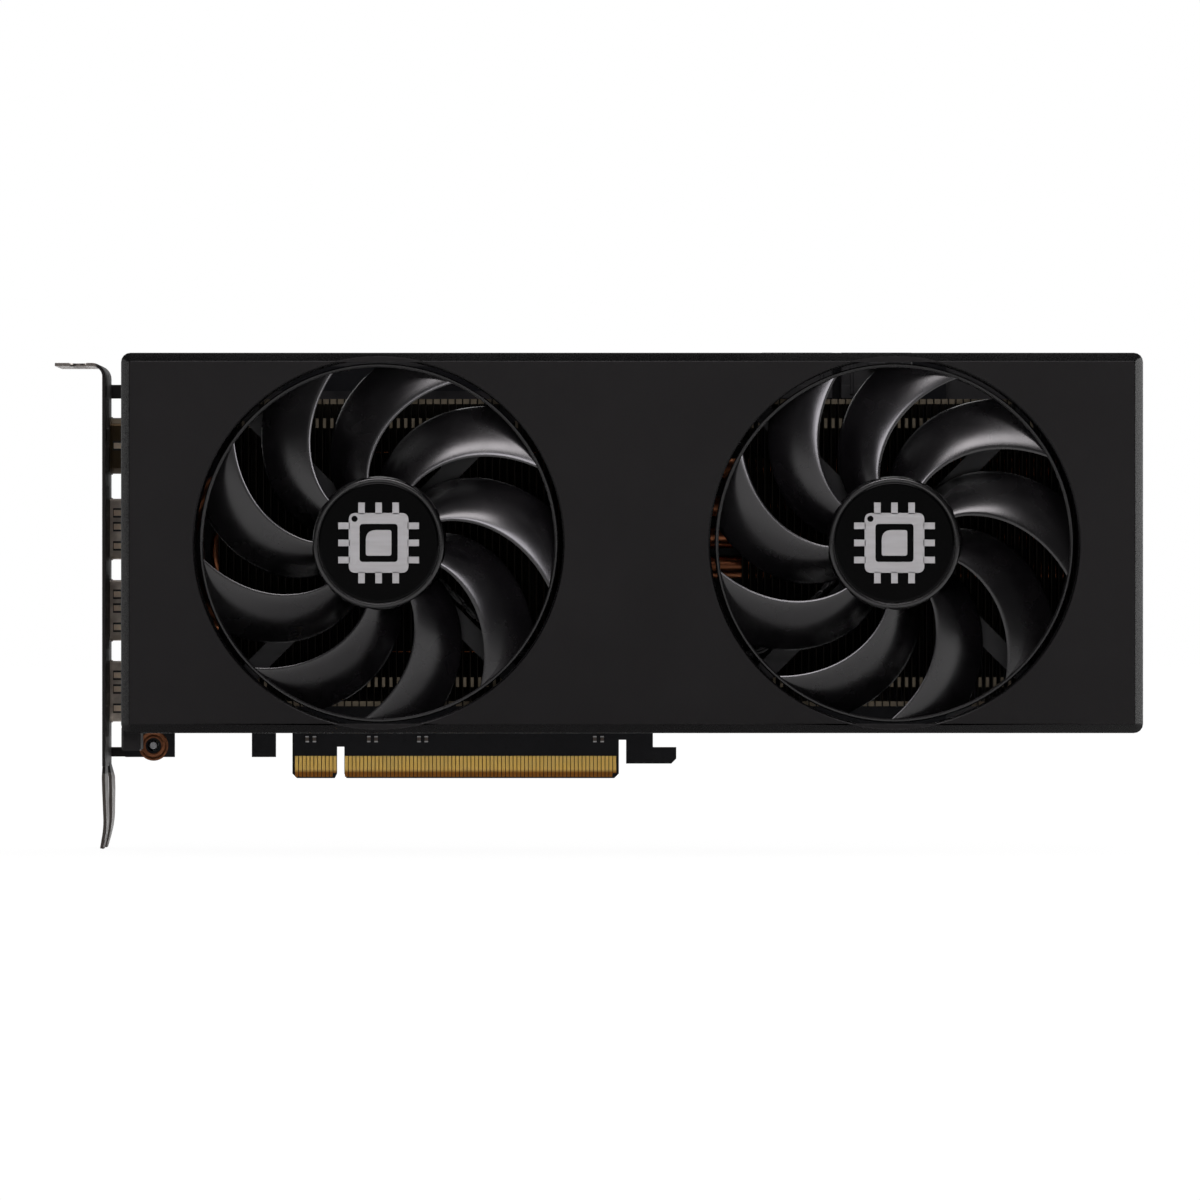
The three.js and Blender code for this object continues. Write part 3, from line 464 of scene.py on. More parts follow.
def board_finish():
    """Black solder mask over copper: a faint pattern of runs stands up under a smooth lacquer."""
    finish = Finish("board_mask", (0.0026, 0.0028, 0.004), 0.4, specular=0.16)
    cells = finish.node("TexVoronoi")
    cells.distance = "MANHATTAN"
    cells.feature = "F1"
    cells.inputs["Scale"].default_value = 520
    finish.link(finish.place, cells.inputs["Vector"])
    runs = finish.ramp(cells.outputs["Distance"], 0.25, 0.32)
    finish.blend_color(finish.maths("MULTIPLY", runs, 0.55), (0.005, 0.0055, 0.0075))
    finish.bump(runs, 0.02)
    finish.mottle(14, (0.004, 0.0042, 0.0055), 0.5, roughness=0.08)
    return finish.coat(0.06, 0.12).done()


def metal_finish(name, color, roughness, tint, size=6.0, stretch=(1, 1, 1), grain=(0.3, 0.006), worn=None,
                 metallic=1.0):
    """Bare or plated metal with cloudy colour and a drawn or cast grain."""
    finish = Finish(name, color, roughness, metallic)
    finish.mottle(size, tint, 0.5, roughness=0.14, stretch=stretch)
    finish.grain(*grain, stretch=stretch)
    if worn:
        finish.worn(worn, 0.6, 0.2)
    return finish.done()


def bracket_finish():
    """Steel sheet: its plate is dark, and its flange and tails are bare metal, the tails painted darker as
    painted shade.
    """
    finish = Finish("bracket_steel", (0.0045, 0.0036, 0.0034), 0.45, specular=0.25)
    finish.mottle(7, (0.008, 0.0062, 0.0058), 0.5, roughness=0.12)
    low, high = cad("io_bracket")
    wobble = finish.maths("MULTIPLY", finish.ramp(finish.noise(3.0), 0.3, 0.7, -1, 1), 0.2 * MM)
    level = finish.part(finish.place, "Z")
    height = finish.maths("ADD", level, wobble)
    length = finish.maths("ADD", finish.part(finish.place, "X"), wobble)
    tails = finish.ramp(height, (low.z + 19.6) * MM, (low.z + 19.3) * MM)
    beyond = cad("video_port_1")[0].x - 0.6
    flange = finish.ramp(length, beyond * MM, (beyond - 0.8) * MM)
    above = finish.ramp(level, (high.z - 4.0) * MM, (high.z - 3.4) * MM)
    bare = finish.maths("MAXIMUM", tails, finish.maths("MULTIPLY", flange, above))
    finish.blend_color(bare, (0.2, 0.18, 0.165))
    # Painted shade: the bare tails get a darker tone than the bare flange.
    finish.blend_color(tails, (0.085, 0.075, 0.068))
    finish.link(bare, finish.shader.inputs["Metallic"])
    finish.roughness = finish.maths("SUBTRACT", finish.roughness, finish.maths("MULTIPLY", bare, 0.08))
    finish.grain(0.12, 0.01, stretch=(1, 1, 12)).grain(3, 0.02)
    return finish.worn((0.12, 0.1, 0.09), 0.4, 0.18).done()


def contact_finish():
    """Gold, turning dark brown along the lowest millimetre or so."""
    finish = Finish("contact_gold", (0.82, 0.52, 0.125), 0.36, metallic=0.9)
    finish.mottle(3, (0.93, 0.66, 0.21), 0.5, roughness=0.12)
    low = cad("edge_contacts_front")[0].z
    # The lowest millimetre or so is blended to dark brown.
    tinted = finish.ramp(finish.part(finish.place, "Z"), (low + 1.7) * MM, (low + 0.9) * MM)
    finish.blend_color(tinted, (0.29, 0.11, 0.018))
    return finish.grain(0.2, 0.004).done()


SHROUD = shroud_finish()
FAN = fan_finish()
FRAME = frame_finish()
BADGE = badge_finish()
SILVER = silver_print_finish()
BOARD = board_finish()
BRACKET = bracket_finish()
GOLD = contact_finish()
COPPER = metal_finish("pipe_copper", (0.42, 0.16, 0.075), 0.32, (0.26, 0.09, 0.045), 8, (4, 1, 1))
PLATED = metal_finish("plated_shell", (0.6, 0.53, 0.46), 0.42, (0.2, 0.16, 0.13), 3, metallic=0.7)
# Painted highlight: the spring fingers are coloured bright tan, lighter than the shell they are cut from.
FINGER_HIGHLIGHT = metal_finish("spring_finger", (0.85, 0.7, 0.52), 0.45, (0.6, 0.5, 0.4), 1.5, metallic=0.3)
DARK_PLATED = metal_finish("dark_plated_shell", (0.05, 0.035, 0.02), 0.4, (0.08, 0.06, 0.035), 3)
# Painted shade: the aluminium fin sheets are coloured darker than the black shroud.
FIN_SHADED_METAL = metal_finish("fin_aluminium", (0.009, 0.008, 0.0065), 0.5, (0.017, 0.015, 0.012), 10, (1, 1, 6),
                         (0.25, 0.006))
# Painted highlight: the fin lips are coloured light tan, much lighter than the fin sheets they fold from.
LIP_HIGHLIGHT_METAL = metal_finish("fin_lip", (0.13, 0.11, 0.08), 0.4, (0.22, 0.185, 0.14), 5, (4, 1, 1))
PLATE_METAL = metal_finish("cooling_plate", (0.03, 0.03, 0.032), 0.5, (0.05, 0.05, 0.052), grain=(0.25, 0.02))
SPRING = metal_finish("spring_steel", (0.28, 0.28, 0.29), 0.34, (0.36, 0.36, 0.37), 5, (6, 1, 1),
                      (0.2, 0.008))
BRIGHT_SCREW = metal_finish("screw_bright", (0.3, 0.3, 0.31), 0.3, (0.4, 0.4, 0.41), 1.5)
DULL_COPPER = metal_finish("tab_copper", (0.24, 0.095, 0.045), 0.42, (0.14, 0.055, 0.03), 1.2)
CAN = metal_finish("capacitor_can", (0.42, 0.42, 0.43), 0.34, (0.5, 0.5, 0.51), 2)
SCREW = metal_finish("screw_black", (0.05, 0.05, 0.052), 0.38, (0.08, 0.08, 0.085), 2, worn=(0.3, 0.3, 0.3))
BRONZE = metal_finish("bearing_bronze", (0.36, 0.24, 0.1), 0.42, (0.28, 0.18, 0.08), 1)
SOLDER = metal_finish("solder", (0.4, 0.4, 0.4), 0.35, (0.55, 0.55, 0.56), 1)


def dull_finish(name, color, roughness, tint, size=2.0):
    """Moulded resin, nylon or ferrite: matt, slightly uneven in colour, with a fine grain."""
    finish = Finish(name, color, roughness, specular=0.4)
    finish.mottle(size, tint, 0.6, roughness=0.12)
    return finish.grain(0.15, 0.015).done()


CHIP = dull_finish("chip_resin", (0.012, 0.012, 0.013), 0.55, (0.02, 0.02, 0.021))
SOCKET = dull_finish("socket_nylon", (0.010, 0.010, 0.011), 0.5, (0.018, 0.018, 0.019), 4)
FERRITE = dull_finish("ferrite", (0.045, 0.043, 0.042), 0.65, (0.07, 0.066, 0.062), 1)
CERAMIC = dull_finish("capacitor_ceramic", (0.07, 0.055, 0.045), 0.45, (0.1, 0.08, 0.06), 0.5)
CABLE = dull_finish("cable_jacket", (0.011, 0.011, 0.011), 0.45, (0.02, 0.02, 0.02), 3)


def powder_finish():
    finish = Finish("backplate_powder", (0.014, 0.014, 0.015), 0.5, specular=0.4)
    finish.mottle(25, (0.018, 0.018, 0.019), 0.5, roughness=0.05)
    finish.grain(0.35, 0.02).grain(0.9, 0.012)
    return finish.worn((0.12, 0.12, 0.12), 0.5, 0.25).done()


POWDER = powder_finish()


# --- Shroud ---

WALL = 2.0
OPENING = RIM_RADIUS + 1.15
DUCT_BACK = -31.0
CIRCLE = 144


def shroud_cover():
    """The moulded cover: a face with two round openings, rounded into side walls notched at the back."""
    low, high = SHROUD_LOW, SHROUD_HIGH
    bottom, face, back = 12.2, low.y, -22.0
    notch, slope, corner, nip = 7.0, 1.2, 2.4, 0.3

    # Stations along a long side: (x, the share of the notch depth cut from the wall's back edge there).
    stations = []
    for start, end in ((-72, -10), (-2, 60), (76, 116), (124, 164)):
        stations += [(start - slope, 0), (start, 1), (end, 1), (end + slope, 0)]

    def ring(inset, y, notched=False):
        """The cover's outline moved inwards, counter-clockwise, at the depth y."""
        x0, x1, z0, z1 = low.x + inset, high.x - inset, bottom + inset, high.z - inset
        r = max(corner - inset, 0.4)
        points = []
        corners = ((2, x0 + r, z0 + r), (3, x1 - r, z0 + r), (0, x1 - r, z1 - r), (1, x0 + r, z1 - r))
        for number, x, z in corners:
            points += [(*spot, 0) for spot in arc((x, z), r, 90 * number, 90 * number + 90, 4)]
            if number == 2:
                points += [(x, z0, share) for x, share in stations]
            if number == 0:
                points += [(x, z1, share) for x, share in reversed(stations)]
        return [(x, y - notch * share * notched, z) for x, z, share in points]

    made = Build()
    bevel = [(2.45, 0), (2.25, 0.03), (2.1, 0.12), (0.12, 2.1), (0.03, 2.25), (0, 2.45)]  # (inset, depth)
    rings = [ring(inset, face + depth) for inset, depth in bevel]
    rings += [ring(0, back - nip, True), ring(nip, back, True), ring(WALL - nip, back, True)]
    rings += [ring(WALL, back - nip, True), ring(WALL, face + WALL)]
    made.strip(rings)

    fronts = [[(x, z) for x, _, z in rings[0]]]
    backs = [[(x, z) for x, _, z in rings[-1]]]
    edge, duct = 0.7, 1.5
    profile = arc((OPENING + edge, face + edge), edge, 270, 180, 5)
    profile += [(OPENING, DUCT_BACK - nip), (OPENING + nip, DUCT_BACK), (OPENING + duct - nip, DUCT_BACK)]
    profile += [(OPENING + duct, DUCT_BACK - nip), (OPENING + duct, face + WALL)]
    for hub in FAN_SPOT.values():
        made.strip([[(x, y, z) for x, z in circle(radius, CIRCLE, hub)] for radius, y in profile])
        fronts.append(circle(OPENING + edge, CIRCLE, hub)[::-1])
        backs.append(circle(OPENING + duct, CIRCLE, hub)[::-1])
    made.cap(fronts, lambda a, b: (a, face, b))
    made.cap(backs, lambda a, b: (a, face + WALL, b))
    return made


def shroud_inside():
    """Posts, ribs and the end wall, standing on the back of the cover's face."""
    made = Build()
    floor = SHROUD_LOW.y + WALL - 0.2
    reach = 36.5
    seat = cad("fan_left_frame")[1].y - 1.65
    for hub in FAN_SPOT.values():
        for spot in four_turns([(reach, reach)], hub):
            made.lathe([(0, floor), (3.6, floor), (3.2, floor + 1), (3.0, seat), (1.15, seat),
                        (1.15, seat + 1.7), (0.7, seat + 2.1), (0, seat + 2.1)], spot, 24)
    for z in (centre_of("backplate_screw_5").z, centre_of("backplate_screw_6").z):
        x = centre_of("backplate_screw_5").x
        end = cad("backplate")[0].y - 0.05
        post = [(1.3, -6), (1.3, end), (2.7, end), (3.0, end - 0.3), (3.2, floor), (1.3, floor)]
        made.lathe(post, (x, z), 24)
        made.block((x + 2.6, floor, z - 0.6), (SHROUD_HIGH.x - 1, -8, z + 0.6), 0.2)
    end_wall = rounded(rectangle(-23, 2.75, 24, 98), 1.2)
    made.plate(end_wall, SHROUD_HIGH.x - WALL, SHROUD_HIGH.x - 0.05, edge=0.3, axis="x")
    made.block((SHROUD_LOW.x, -40, 7.6), (SHROUD_LOW.x + 5, -22, 14.0), 0.5)
    return made


# --- Fans ---

BLADES = 9
HUB_RADIUS = 17.3
BLADE_FRONT, BLADE_BACK = -42.3, -32.7
RIM_FRONT, RIM_BACK = -42.2, -32.6
RIM_WALL = 1.0
FIRST_BLADE = {"left": 58.5, "right": 62.5}  # where a leading edge leaves the hub, degrees up from +X


def blade(made, centre, root_angle):
    """One swept, cambered blade, lofted from the hub to the rim. Its leading edge is the clockwise one."""
    sections, across = 18, 16
    sweep, chord_root, chord_tip = 34.0, 31.0, 26.0
    rings = []
    for i in range(sections + 1):
        out = i / sections
        radius = (HUB_RADIUS - 0.6) * (1 - out) + (RIM_RADIUS - RIM_WALL * 0.5) * out
        leading = root_angle - sweep * out ** 1.25
        chord = chord_root + (chord_tip - chord_root) * out
        depth = (BLADE_BACK - BLADE_FRONT) * (1 - 0.18 * out)
        middle = (BLADE_FRONT + BLADE_BACK) / 2
        thickness = 1.7 - 0.7 * out

        def mean(s):
            around = radius * math.radians(leading + chord * s)
            return Vector((around, middle - depth / 2 + depth * s ** 1.35))

        front, back = [], []
        for k in range(across + 1):
            s = 0.5 - 0.5 * math.cos(math.pi * k / across)
            along = (mean(min(s + 0.01, 1)) - mean(max(s - 0.01, 0))).normalized()
            normal = Vector((-along.y, along.x))
            half = thickness / 2 * (0.45 + 0.55 * math.sin(math.pi * min(s * 1.25, 1)) ** 0.6)
            half *= math.sin(math.pi / 2 * min(1, (s + 0.002) / 0.035, (1.002 - s) / 0.035))
            front.append(mean(s) - normal * half)
            back.append(mean(s) + normal * half)
        ring = []
        for point in front + back[-2:0:-1]:
            angle = point.x / radius
            ring.append((centre[0] + radius * math.cos(angle), point.y, centre[1] + radius * math.sin(angle)))
        rings.append(ring)
    made.strip(rings)
    count = 2 * across
    for ring in (rings[0], rings[-1]):
        faces = [(k, k + 1, count - k - 1, (count - k) % count) for k in range(1, across - 1)]
        faces += [(0, 1, count - 1), (across - 1, across, across + 1)]
        made.add(ring, faces)


def fan_blades(side):
    made = Build()
    for number in range(BLADES):
        blade(made, FAN_SPOT[side], FIRST_BLADE[side] + 360 * number / BLADES)
    return made


def fan_hub(side):
    """The hub cup with its bevelled shoulder, and the rim that ties the blade tips."""
    made = Build()
    front, back = cad("fan_%s_rotor" % side)[0].y, -32.0
    edge = 0.3
    outer, inner = HUB_RADIUS, HUB_RADIUS - 1.2
    cup_floor, boss_end = front + 1.4, -40.2
    boss, bore = 3.2, 1.55
    made.lathe([
        (0, front + 0.4), (15.65, front + 0.4), (15.75, front + 0.1), (15.95, front), (16.35, front),
        (16.65, front + 0.12), (16.95, front + 0.45), (17.2, front + 1.05), (outer, front + 1.7),
        (outer, back - edge), (outer - edge, back), (inner + edge, back), (inner, back - edge),
        (inner, cup_floor), (boss, cup_floor), (boss, boss_end), (bore, boss_end), (bore, cup_floor),
        (0, cup_floor),
    ], FAN_SPOT[side], 96)
    outer, inner = RIM_RADIUS, RIM_RADIUS - RIM_WALL
    made.lathe([
        (inner, RIM_FRONT + edge), (inner + edge, RIM_FRONT), (outer - edge, RIM_FRONT),
        (outer, RIM_FRONT + edge), (outer, RIM_BACK - edge), (outer - edge, RIM_BACK),
        (inner + edge, RIM_BACK), (inner, RIM_BACK - edge),
    ], FAN_SPOT[side], CIRCLE)
    return made


def fan_badge(side):
    low, high = cad("fan_%s_badge" % side)
    made = Build()
    made.lathe([(0, low.y), (14.9, low.y), (15.3, low.y + 0.06), (15.5, low.y + 0.22), (15.55, high.y + 0.25),
                (0, high.y + 0.25)], FAN_SPOT[side], 96)
    return made


def chip_sign(side):
    """A plain pictogram of a microchip: a frame with legs, a middle square, and a hole for pin one."""
    low, _ = cad("fan_%s_badge" % side)
    x, z = FAN_SPOT[side]
    y0, y1 = low.y - 0.06, low.y + 0.1
    made = Build()
    frame_outside, frame_inside = rounded(square((x, z), 7.7), 1.8, 5), rounded(square((x, z), 4.9), 0.9, 5)
    pin_one = circle(0.8, 20, (x - 6.2, z + 6.2))
    made.plate(frame_outside, y0, y1, [frame_inside, pin_one], 0.04)
    made.plate(rounded(square((x, z), 3.3), [0.6, 0.6, 0.6, 2.6], 5), y0, y1, edge=0.04)
    half_leg = 0.85
    for step in (-4.4, 0, 4.4):
        for near, far in ((7.4, 10.4), (-10.4, -7.4)):
            across, along = (step - half_leg, step + half_leg), (near, far)
            for (x0, x1), (z0, z1) in ((along, across), (across, along)):
                made.plate(rectangle(x + x0, x + x1, z + z0, z + z1), y0, y1, edge=0.04)
    return made


# --- Circuit board details ---

CONTACT_PITCH = 1.0
KEY_MIDDLE = -30.0
BOARD_FRONT, BOARD_BACK = cad("pcb")[0].y, cad("pcb")[1].y
GPU = centre_of("gpu_package")
GPU_SPOT = (GPU.x, GPU.z)


def slot_contacts(face):
    """Eleven contacts, the key, then seventy-one more. The outermost stop short, as sensing contacts do."""
    low, high = cad("edge_contacts_" + face)
    made = Build()
    firsts = [KEY_MIDDLE - 1.5 - CONTACT_PITCH * i for i in range(11)]
    firsts += [KEY_MIDDLE + 1.5 + CONTACT_PITCH * i for i in range(71)]
    for x in firsts:
        short = 1.0 if x in (firsts[0], firsts[-1]) else 0.0
        made.block((x - 0.41, low.y, 0.35 + short), (x + 0.41, high.y, high.z - 3.8), 0.02)
    return made


def capacitors(places, side, length, width):
    """Ceramic capacitors at (x, z) places on one side of the board (-1 front, 1 back), and their ends."""
    bodies, ends = Build(), Build()
    skin = BOARD_FRONT if side < 0 else BOARD_BACK
    half, plating = width / 2, 0.02
    foot = skin + side * 0.03
    low_y, high_y = sorted((foot, skin + side * width))
    low_end, high_end = sorted((foot, skin + side * (width + plating)))
    for x, z in places:
        bodies.block((x - half, low_y, z - length * 0.4), (x + half, high_y, z + length * 0.4), 0.06)
        for middle in (z - length * 0.39, z + length * 0.39):
            ends.block((x - half - plating, low_end, middle - length * 0.12),
                       (x + half + plating, high_end, middle + length * 0.12), 0.07)
    return bodies, ends


def front_places():
    """Pairs above the contacts, as the front of the board shows them."""
    return [(x + d, 10.2) for x in (-37.8, -21.7, -8.6, 37.3) for d in (-0.95, 0.95)]


def back_places():
    """A field of decoupling capacitors behind the processor, inside the spring bracket's window."""
    grid = [(GPU.x - 7.5 + 2.5 * i, GPU.z - 8.0 + 2.0 * k) for i in range(7) for k in range(9)]
    beside = [(GPU.x + side * 35.5, GPU.z - 27 + 6.0 * k) for side in (-1, 1) for k in range(10)]
    return [(x, z) for x, z in grid if abs(x - GPU.x) > 2 or abs(z - GPU.z) > 3] + beside


def tab_ring():
    """Bare copper round the screw hole of the bracket tab: two raised bands with a groove between them."""
    y = BOARD_FRONT
    made = Build()
    made.lathe([
        (2.05, y + 0.05), (2.05, y - 0.12), (2.2, y - 0.16), (2.5, y - 0.16), (2.65, y - 0.06),
        (3.2, y - 0.06), (3.35, y - 0.16), (3.75, y - 0.16), (3.9, y - 0.1), (3.9, y + 0.05),
    ], spot_of("bracket_screw_1"), 48)
    return made


def polymer_cans():
    """Cylindrical capacitors in the gap between the fin stacks, each with a crimped edge and a flat base."""
    cans, bases = Build(), Build()
    front, foot = BOARD_FRONT - 6.2, BOARD_FRONT - 0.7
    radius, crimp, half_base = 2.65, 2.45, 2.8
    for x in (66.6, 73.0):
        for z in (89.0, 96.0):
            cans.lathe([
                (0, front), (2.2, front), (2.55, front + 0.2), (radius, front + 0.5), (radius, -2.6),
                (crimp, -2.4), (crimp, -2.2), (radius, -2.0), (radius, foot), (0, foot),
            ], (x, z), 32)
            base = rounded(square((x, z), half_base), [0.9, 0.9, 0.1, 0.1])
            bases.plate(base, BOARD_FRONT - 0.75, BOARD_FRONT - 0.02, edge=0.1)
    return cans, bases


# --- Sockets ---

def port_outline(number):
    """A display socket's outline in (y, z): slanted at one corner, or at both on the wide one."""
    low, high = cad("video_port_%d" % number)
    half, middle = (high.z - low.z) / 2, (high.z + low.z) / 2
    slant, shoulder = 1.7, -3.4
    if number == 1:
        corners = [(high.y, -half), (high.y, half), (shoulder, half), (low.y, half - slant)]
        corners += [(low.y, slant - half), (shoulder, -half)]
    else:
        corners = [(high.y, -half), (high.y, half), (low.y, half), (low.y, 1.8 - half), (low.y + 1.8, -half)]
    loop = rounded([(y, middle + z) for y, z in corners], 0.6)
    return loop if area(loop) > 0 else loop[::-1]


def port_shell(number):
    """A folded metal shell, open towards the bracket, with a collar near its mouth."""
    low, high = cad("video_port_%d" % number)
    outline = port_outline(number)
    wall, depth = 0.5, 9.0
    made = Build()
    made.plate(outline, low.x, low.x + depth + 0.3, [grow(outline, -wall)], 0.12, "x")
    made.plate(outline, low.x + depth, high.x, edge=0.25, axis="x")
    made.plate(grow(outline, 0.25), low.x + 1.7, low.x + 2.1, [grow(outline, -0.1)], 0.1, "x")
    return made


def port_fingers():
    """Sprung fingers cut in the front of each display socket's shell, each in a dark slot of its own."""
    fingers, slots = Build(), Build()
    for number in range(1, 5):
        low, high = cad("video_port_%d" % number)
        middle, y = (low.z + high.z) / 2, low.y
        start, tip = low.x + 2.5, high.x - 1.4
        bow = [(start, y - 0.1), (start + 2.2, y - 0.28), (tip - 1.5, y - 0.16), (tip, y - 0.05)]
        for z in ((middle,) if number == 1 else (middle - 4.4, middle + 0.6, middle + 4.2)):
            slots.bare_block((start - 0.2, y - 0.03, z - 1.25), (tip + 0.2, y + 0.2, z + 1.25))
            fingers.plate(ribbon(bow, 0.16), z - 0.75, z + 0.75, edge=0.03, axis="z")
    return fingers, slots


def port_insides():
    """The plastic tongues of all four display sockets, and the contacts along both faces of each."""
    tongues, contacts = Build(), Build()
    for number in range(1, 5):
        low, high = cad("video_port_%d" % number)
        x, y, middle = low.x, (low.y + high.y) / 2, (low.z + high.z) / 2
        half = (high.z - low.z) / 2 - 2.2
        tongues.block((x + 1.2, y - 0.6, middle - half), (x + 9.3, y + 0.6, middle + half), 0.2)
        for i in range(10):
            z = middle + (i - 4.5) * half * 0.19
            for face in (y - 0.6, y + 0.6):
                contacts.bare_block((x + 1.8, face - 0.05, z - 0.25), (x + 9.0, face + 0.05, z + 0.25))
    return tongues, contacts


def power_socket(number):
    """An eight-way socket: two rows of cells open upwards, half of them with cut corners, and a latch."""
    low, high = cad("power_socket_%d" % number)
    reach, pitch, cell, pin = 1.1, 4.2, 1.65, 0.5
    front, floor = low.y + reach, high.z - 8.5
    x, y = (low.x + high.x) / 2, (front + high.y) / 2
    cells = []
    pins = Build()
    for column in range(4):
        for row in range(2):
            cx, cy = x + (column - 1.5) * pitch, y + (row - 0.5) * pitch
            cut = 0.9 if (column + row) % 2 else 0.15
            cells.append(rounded(square((cx, cy), cell), [0.15, 0.15, cut, cut], 1))
            pins.block((cx - pin, cy - pin, floor - 0.3), (cx + pin, cy + pin, high.z - 2.6), 0.2)
    made = Build()
    outline = rounded(rectangle(low.x, high.x, front, high.y), 0.5)
    made.plate(outline, floor - 0.1, high.z, cells, 0.2, "z")
    made.plate(outline, low.z, floor, edge=0.2, axis="z")
    made.block((x - 2.2, low.y, high.z - 4.6), (x + 2.2, front + 0.1, high.z - 2.4), 0.25)
    for rib in (x - 6.4, x + 6.4):
        made.block((rib - 0.5, front - 0.35, low.z + 1), (rib + 0.5, front + 0.2, high.z - 1.2), 0.2)
    return made, pins


# --- Cooler ---

FIN_SHEET = 0.3
FIN_PITCH = 1.9


def fin_stack(side):
    """Thin sheets across the card. Lips folded along the ends of each one reach across to the next."""
    low, high = cad("fin_stack_" + side)
    recess_y = -12.5
    recess_low, recess_high = low.z + 14.2, high.z - 13.7
    outline = [(low.y, low.z), (high.y, low.z), (high.y, recess_low), (recess_y, recess_low)]
    outline += [(recess_y, recess_high), (high.y, recess_high), (high.y, high.z), (low.y, high.z)]
    gaps = int((high.x - low.x - FIN_SHEET) / FIN_PITCH)
    step = (high.x - low.x - FIN_SHEET) / gaps
    fins, lips = Build(), Build()
    for i in range(gaps + 1):
        x = low.x + i * step
        fins.plate(outline, x, x + FIN_SHEET, edge=0.04, axis="x", steps=1)
        if i == gaps:
            break
        far = x + step - 0.12
        fins.bare_block((x + 0.1, recess_y - 0.35, recess_low), (far, recess_y - 0.05, recess_high))
        fins.bare_block((x + 0.1, high.y - 0.35, low.z + 0.1), (far, high.y - 0.05, recess_low - 0.3))
        fins.bare_block((x + 0.1, high.y - 0.35, recess_high + 0.3), (far, high.y - 0.05, high.z - 0.1))
        for end, inwards in ((low.z, 1), (high.z, -1)):
            for near, depth, reach, thick in ((0.03, 1.3, far, 0.33), (5.0, 7.5, x + step * 0.55, 0.3)):
                first, last = sorted((end + inwards * near, end + inwards * depth))
                lips.bare_block((x + 0.1, low.y + 0.03, first), (reach, low.y + thick, last))
    return fins, lips


def heat_pipe(number):
    """A copper pipe: straight, or leaving the base to the left and turned back in a half circle."""
    low, high = cad("heat_pipe_%d" % number)
    y = (low.y + high.y) / 2
    radius = (high.y - low.y) / 2 - 0.02
    z0, z1 = low.z + radius, high.z - radius
    right = high.x - radius * 0.4  # the domed end reaches a little beyond the path
    if z1 - z0 < radius:
        path = [(low.x + radius * 0.4, z0), (right, z0)]
    else:
        turn = (z1 - z0) / 2
        middle = (low.x + radius + turn, (z0 + z1) / 2)
        lower_end = cad("fin_stack_left")[1].x - radius * 0.5
        path = [(lower_end, z0)] + arc(middle, turn, 270, 90, 24) + [(right, z1)]
    made = Build()
    made.tube([(x, y, z) for x, z in path], radius, 24)
    return made


# --- Back plate, spring bracket, slot bracket ---

def back_plate():
    """A sheet with a window behind the processor. Pressed fields stand proud between narrow grooves."""
    low, high = cad("backplate")
    ear_x, ear_z = low.x + 11.5, high.z - 15.3
    half_window = 39
    made = Build()
    corners = [(low.x, low.z), (high.x, low.z), (high.x, high.z)]
    corners += [(ear_x, high.z), (ear_x, ear_z), (low.x, ear_z)]
    window = rounded(square(GPU_SPOT, half_window), 7, 5)
    holes = [circle(1.55, 20, spot_of("backplate_screw_%d" % i)) for i in range(1, 7)]
    sheet = high.y - 0.45
    made.plate(rounded(corners, [1.5, 4, 4, 1.5, 1.0, 1.5], 5), low.y, sheet, [window] + holes, 0.15)

    def field(points, radius=2.0):
        inside = [hole for hole in holes if within(hole, points)]
        made.plate(rounded(points, radius, 4), sheet - 0.1, high.y, inside, 0.3, steps=3)

    rim, gap = 2.2, 1.6
    left_edge, right_edge = GPU.x - half_window, GPU.x + half_window
    field([(low.x + rim, low.z + rim), (left_edge - rim, low.z + rim), (left_edge - rim, high.z - rim),
           (ear_x + rim, high.z - rim), (ear_x + rim, ear_z - rim), (low.x + rim, ear_z - rim)])
    for bottom, top in ((GPU.z + half_window + rim, high.z - rim), (low.z + rim, GPU.z - half_window - rim)):
        field(rectangle(left_edge + gap - rim, right_edge + rim - gap, bottom, top), 1.5)
    start, slant, bands = right_edge + rim, 16.0, 5
    width = (high.x - rim - slant - start) / bands
    for i in range(bands):
        x0, x1 = start + i * width, start + (i + 1) * width - gap
        bottom = [(x0, low.z + rim), (x1, low.z + rim)]
        top = [(x1 + slant, high.z - rim), (x0 + slant if i else x0, high.z - rim)]
        if i == bands - 1:
            bottom[1] = (high.x - rim, low.z + rim)
            top[0] = (high.x - rim, high.z - rim)
        field(bottom + top)
    return made


def within(hole, corners):
    """Whether the middle of a hole lies inside an outline."""
    x = sum(p[0] for p in hole) / len(hole)
    z = sum(p[1] for p in hole) / len(hole)
    inside = False
    for (ax, az), (bx, bz) in zip(corners, corners[1:] + corners[:1]):
        if (az > z) != (bz > z) and x < ax + (z - az) * (bx - ax) / (bz - az):
            inside = not inside
    return inside


def spring_cross():
    """Spring steel: a square with a window, and at each corner a ribbed arm that ends in a round lug."""
    low, high = cad("spring_bracket")
    hub, half_arm, lug, reach = 17.0, 4.5, 5.0, 32.0
    side = (hub * math.sqrt(2) - 2 * half_arm) / math.sqrt(2)
    spread = math.degrees(math.asin(half_arm / lug))
    corner = [(hub, side)] + arc((reach, reach), lug, spread - 135, 225 - spread, 20) + [(side, hub)]
    holes = [circle(1.55, 20, spot_of("spring_screw_%d" % i)) for i in range(1, 5)]
    made = Build()
    window = rounded(square(GPU_SPOT, 11), 2.5, 4)
    made.plate(four_turns(corner, GPU_SPOT), low.y, high.y, [window] + holes, 0.2)
    near, far = 17 / math.sqrt(2), 37 / math.sqrt(2)
    for start, end in zip(four_turns([(near, near)], GPU_SPOT), four_turns([(far, far)], GPU_SPOT)):
        rib = rounded(ribbon([start, end], 2.2), 1.0, 4)
        made.plate(rib, high.y - 0.1, high.y + 0.35, edge=0.3)
    return made


SHEET = 0.86
SLOT_PITCH = 20.32
FIRST_SLOT = -7.1
TAILS_PIVOT = -26.0
BRACKET_FACE = cad("io_bracket")[0].x + 12.2


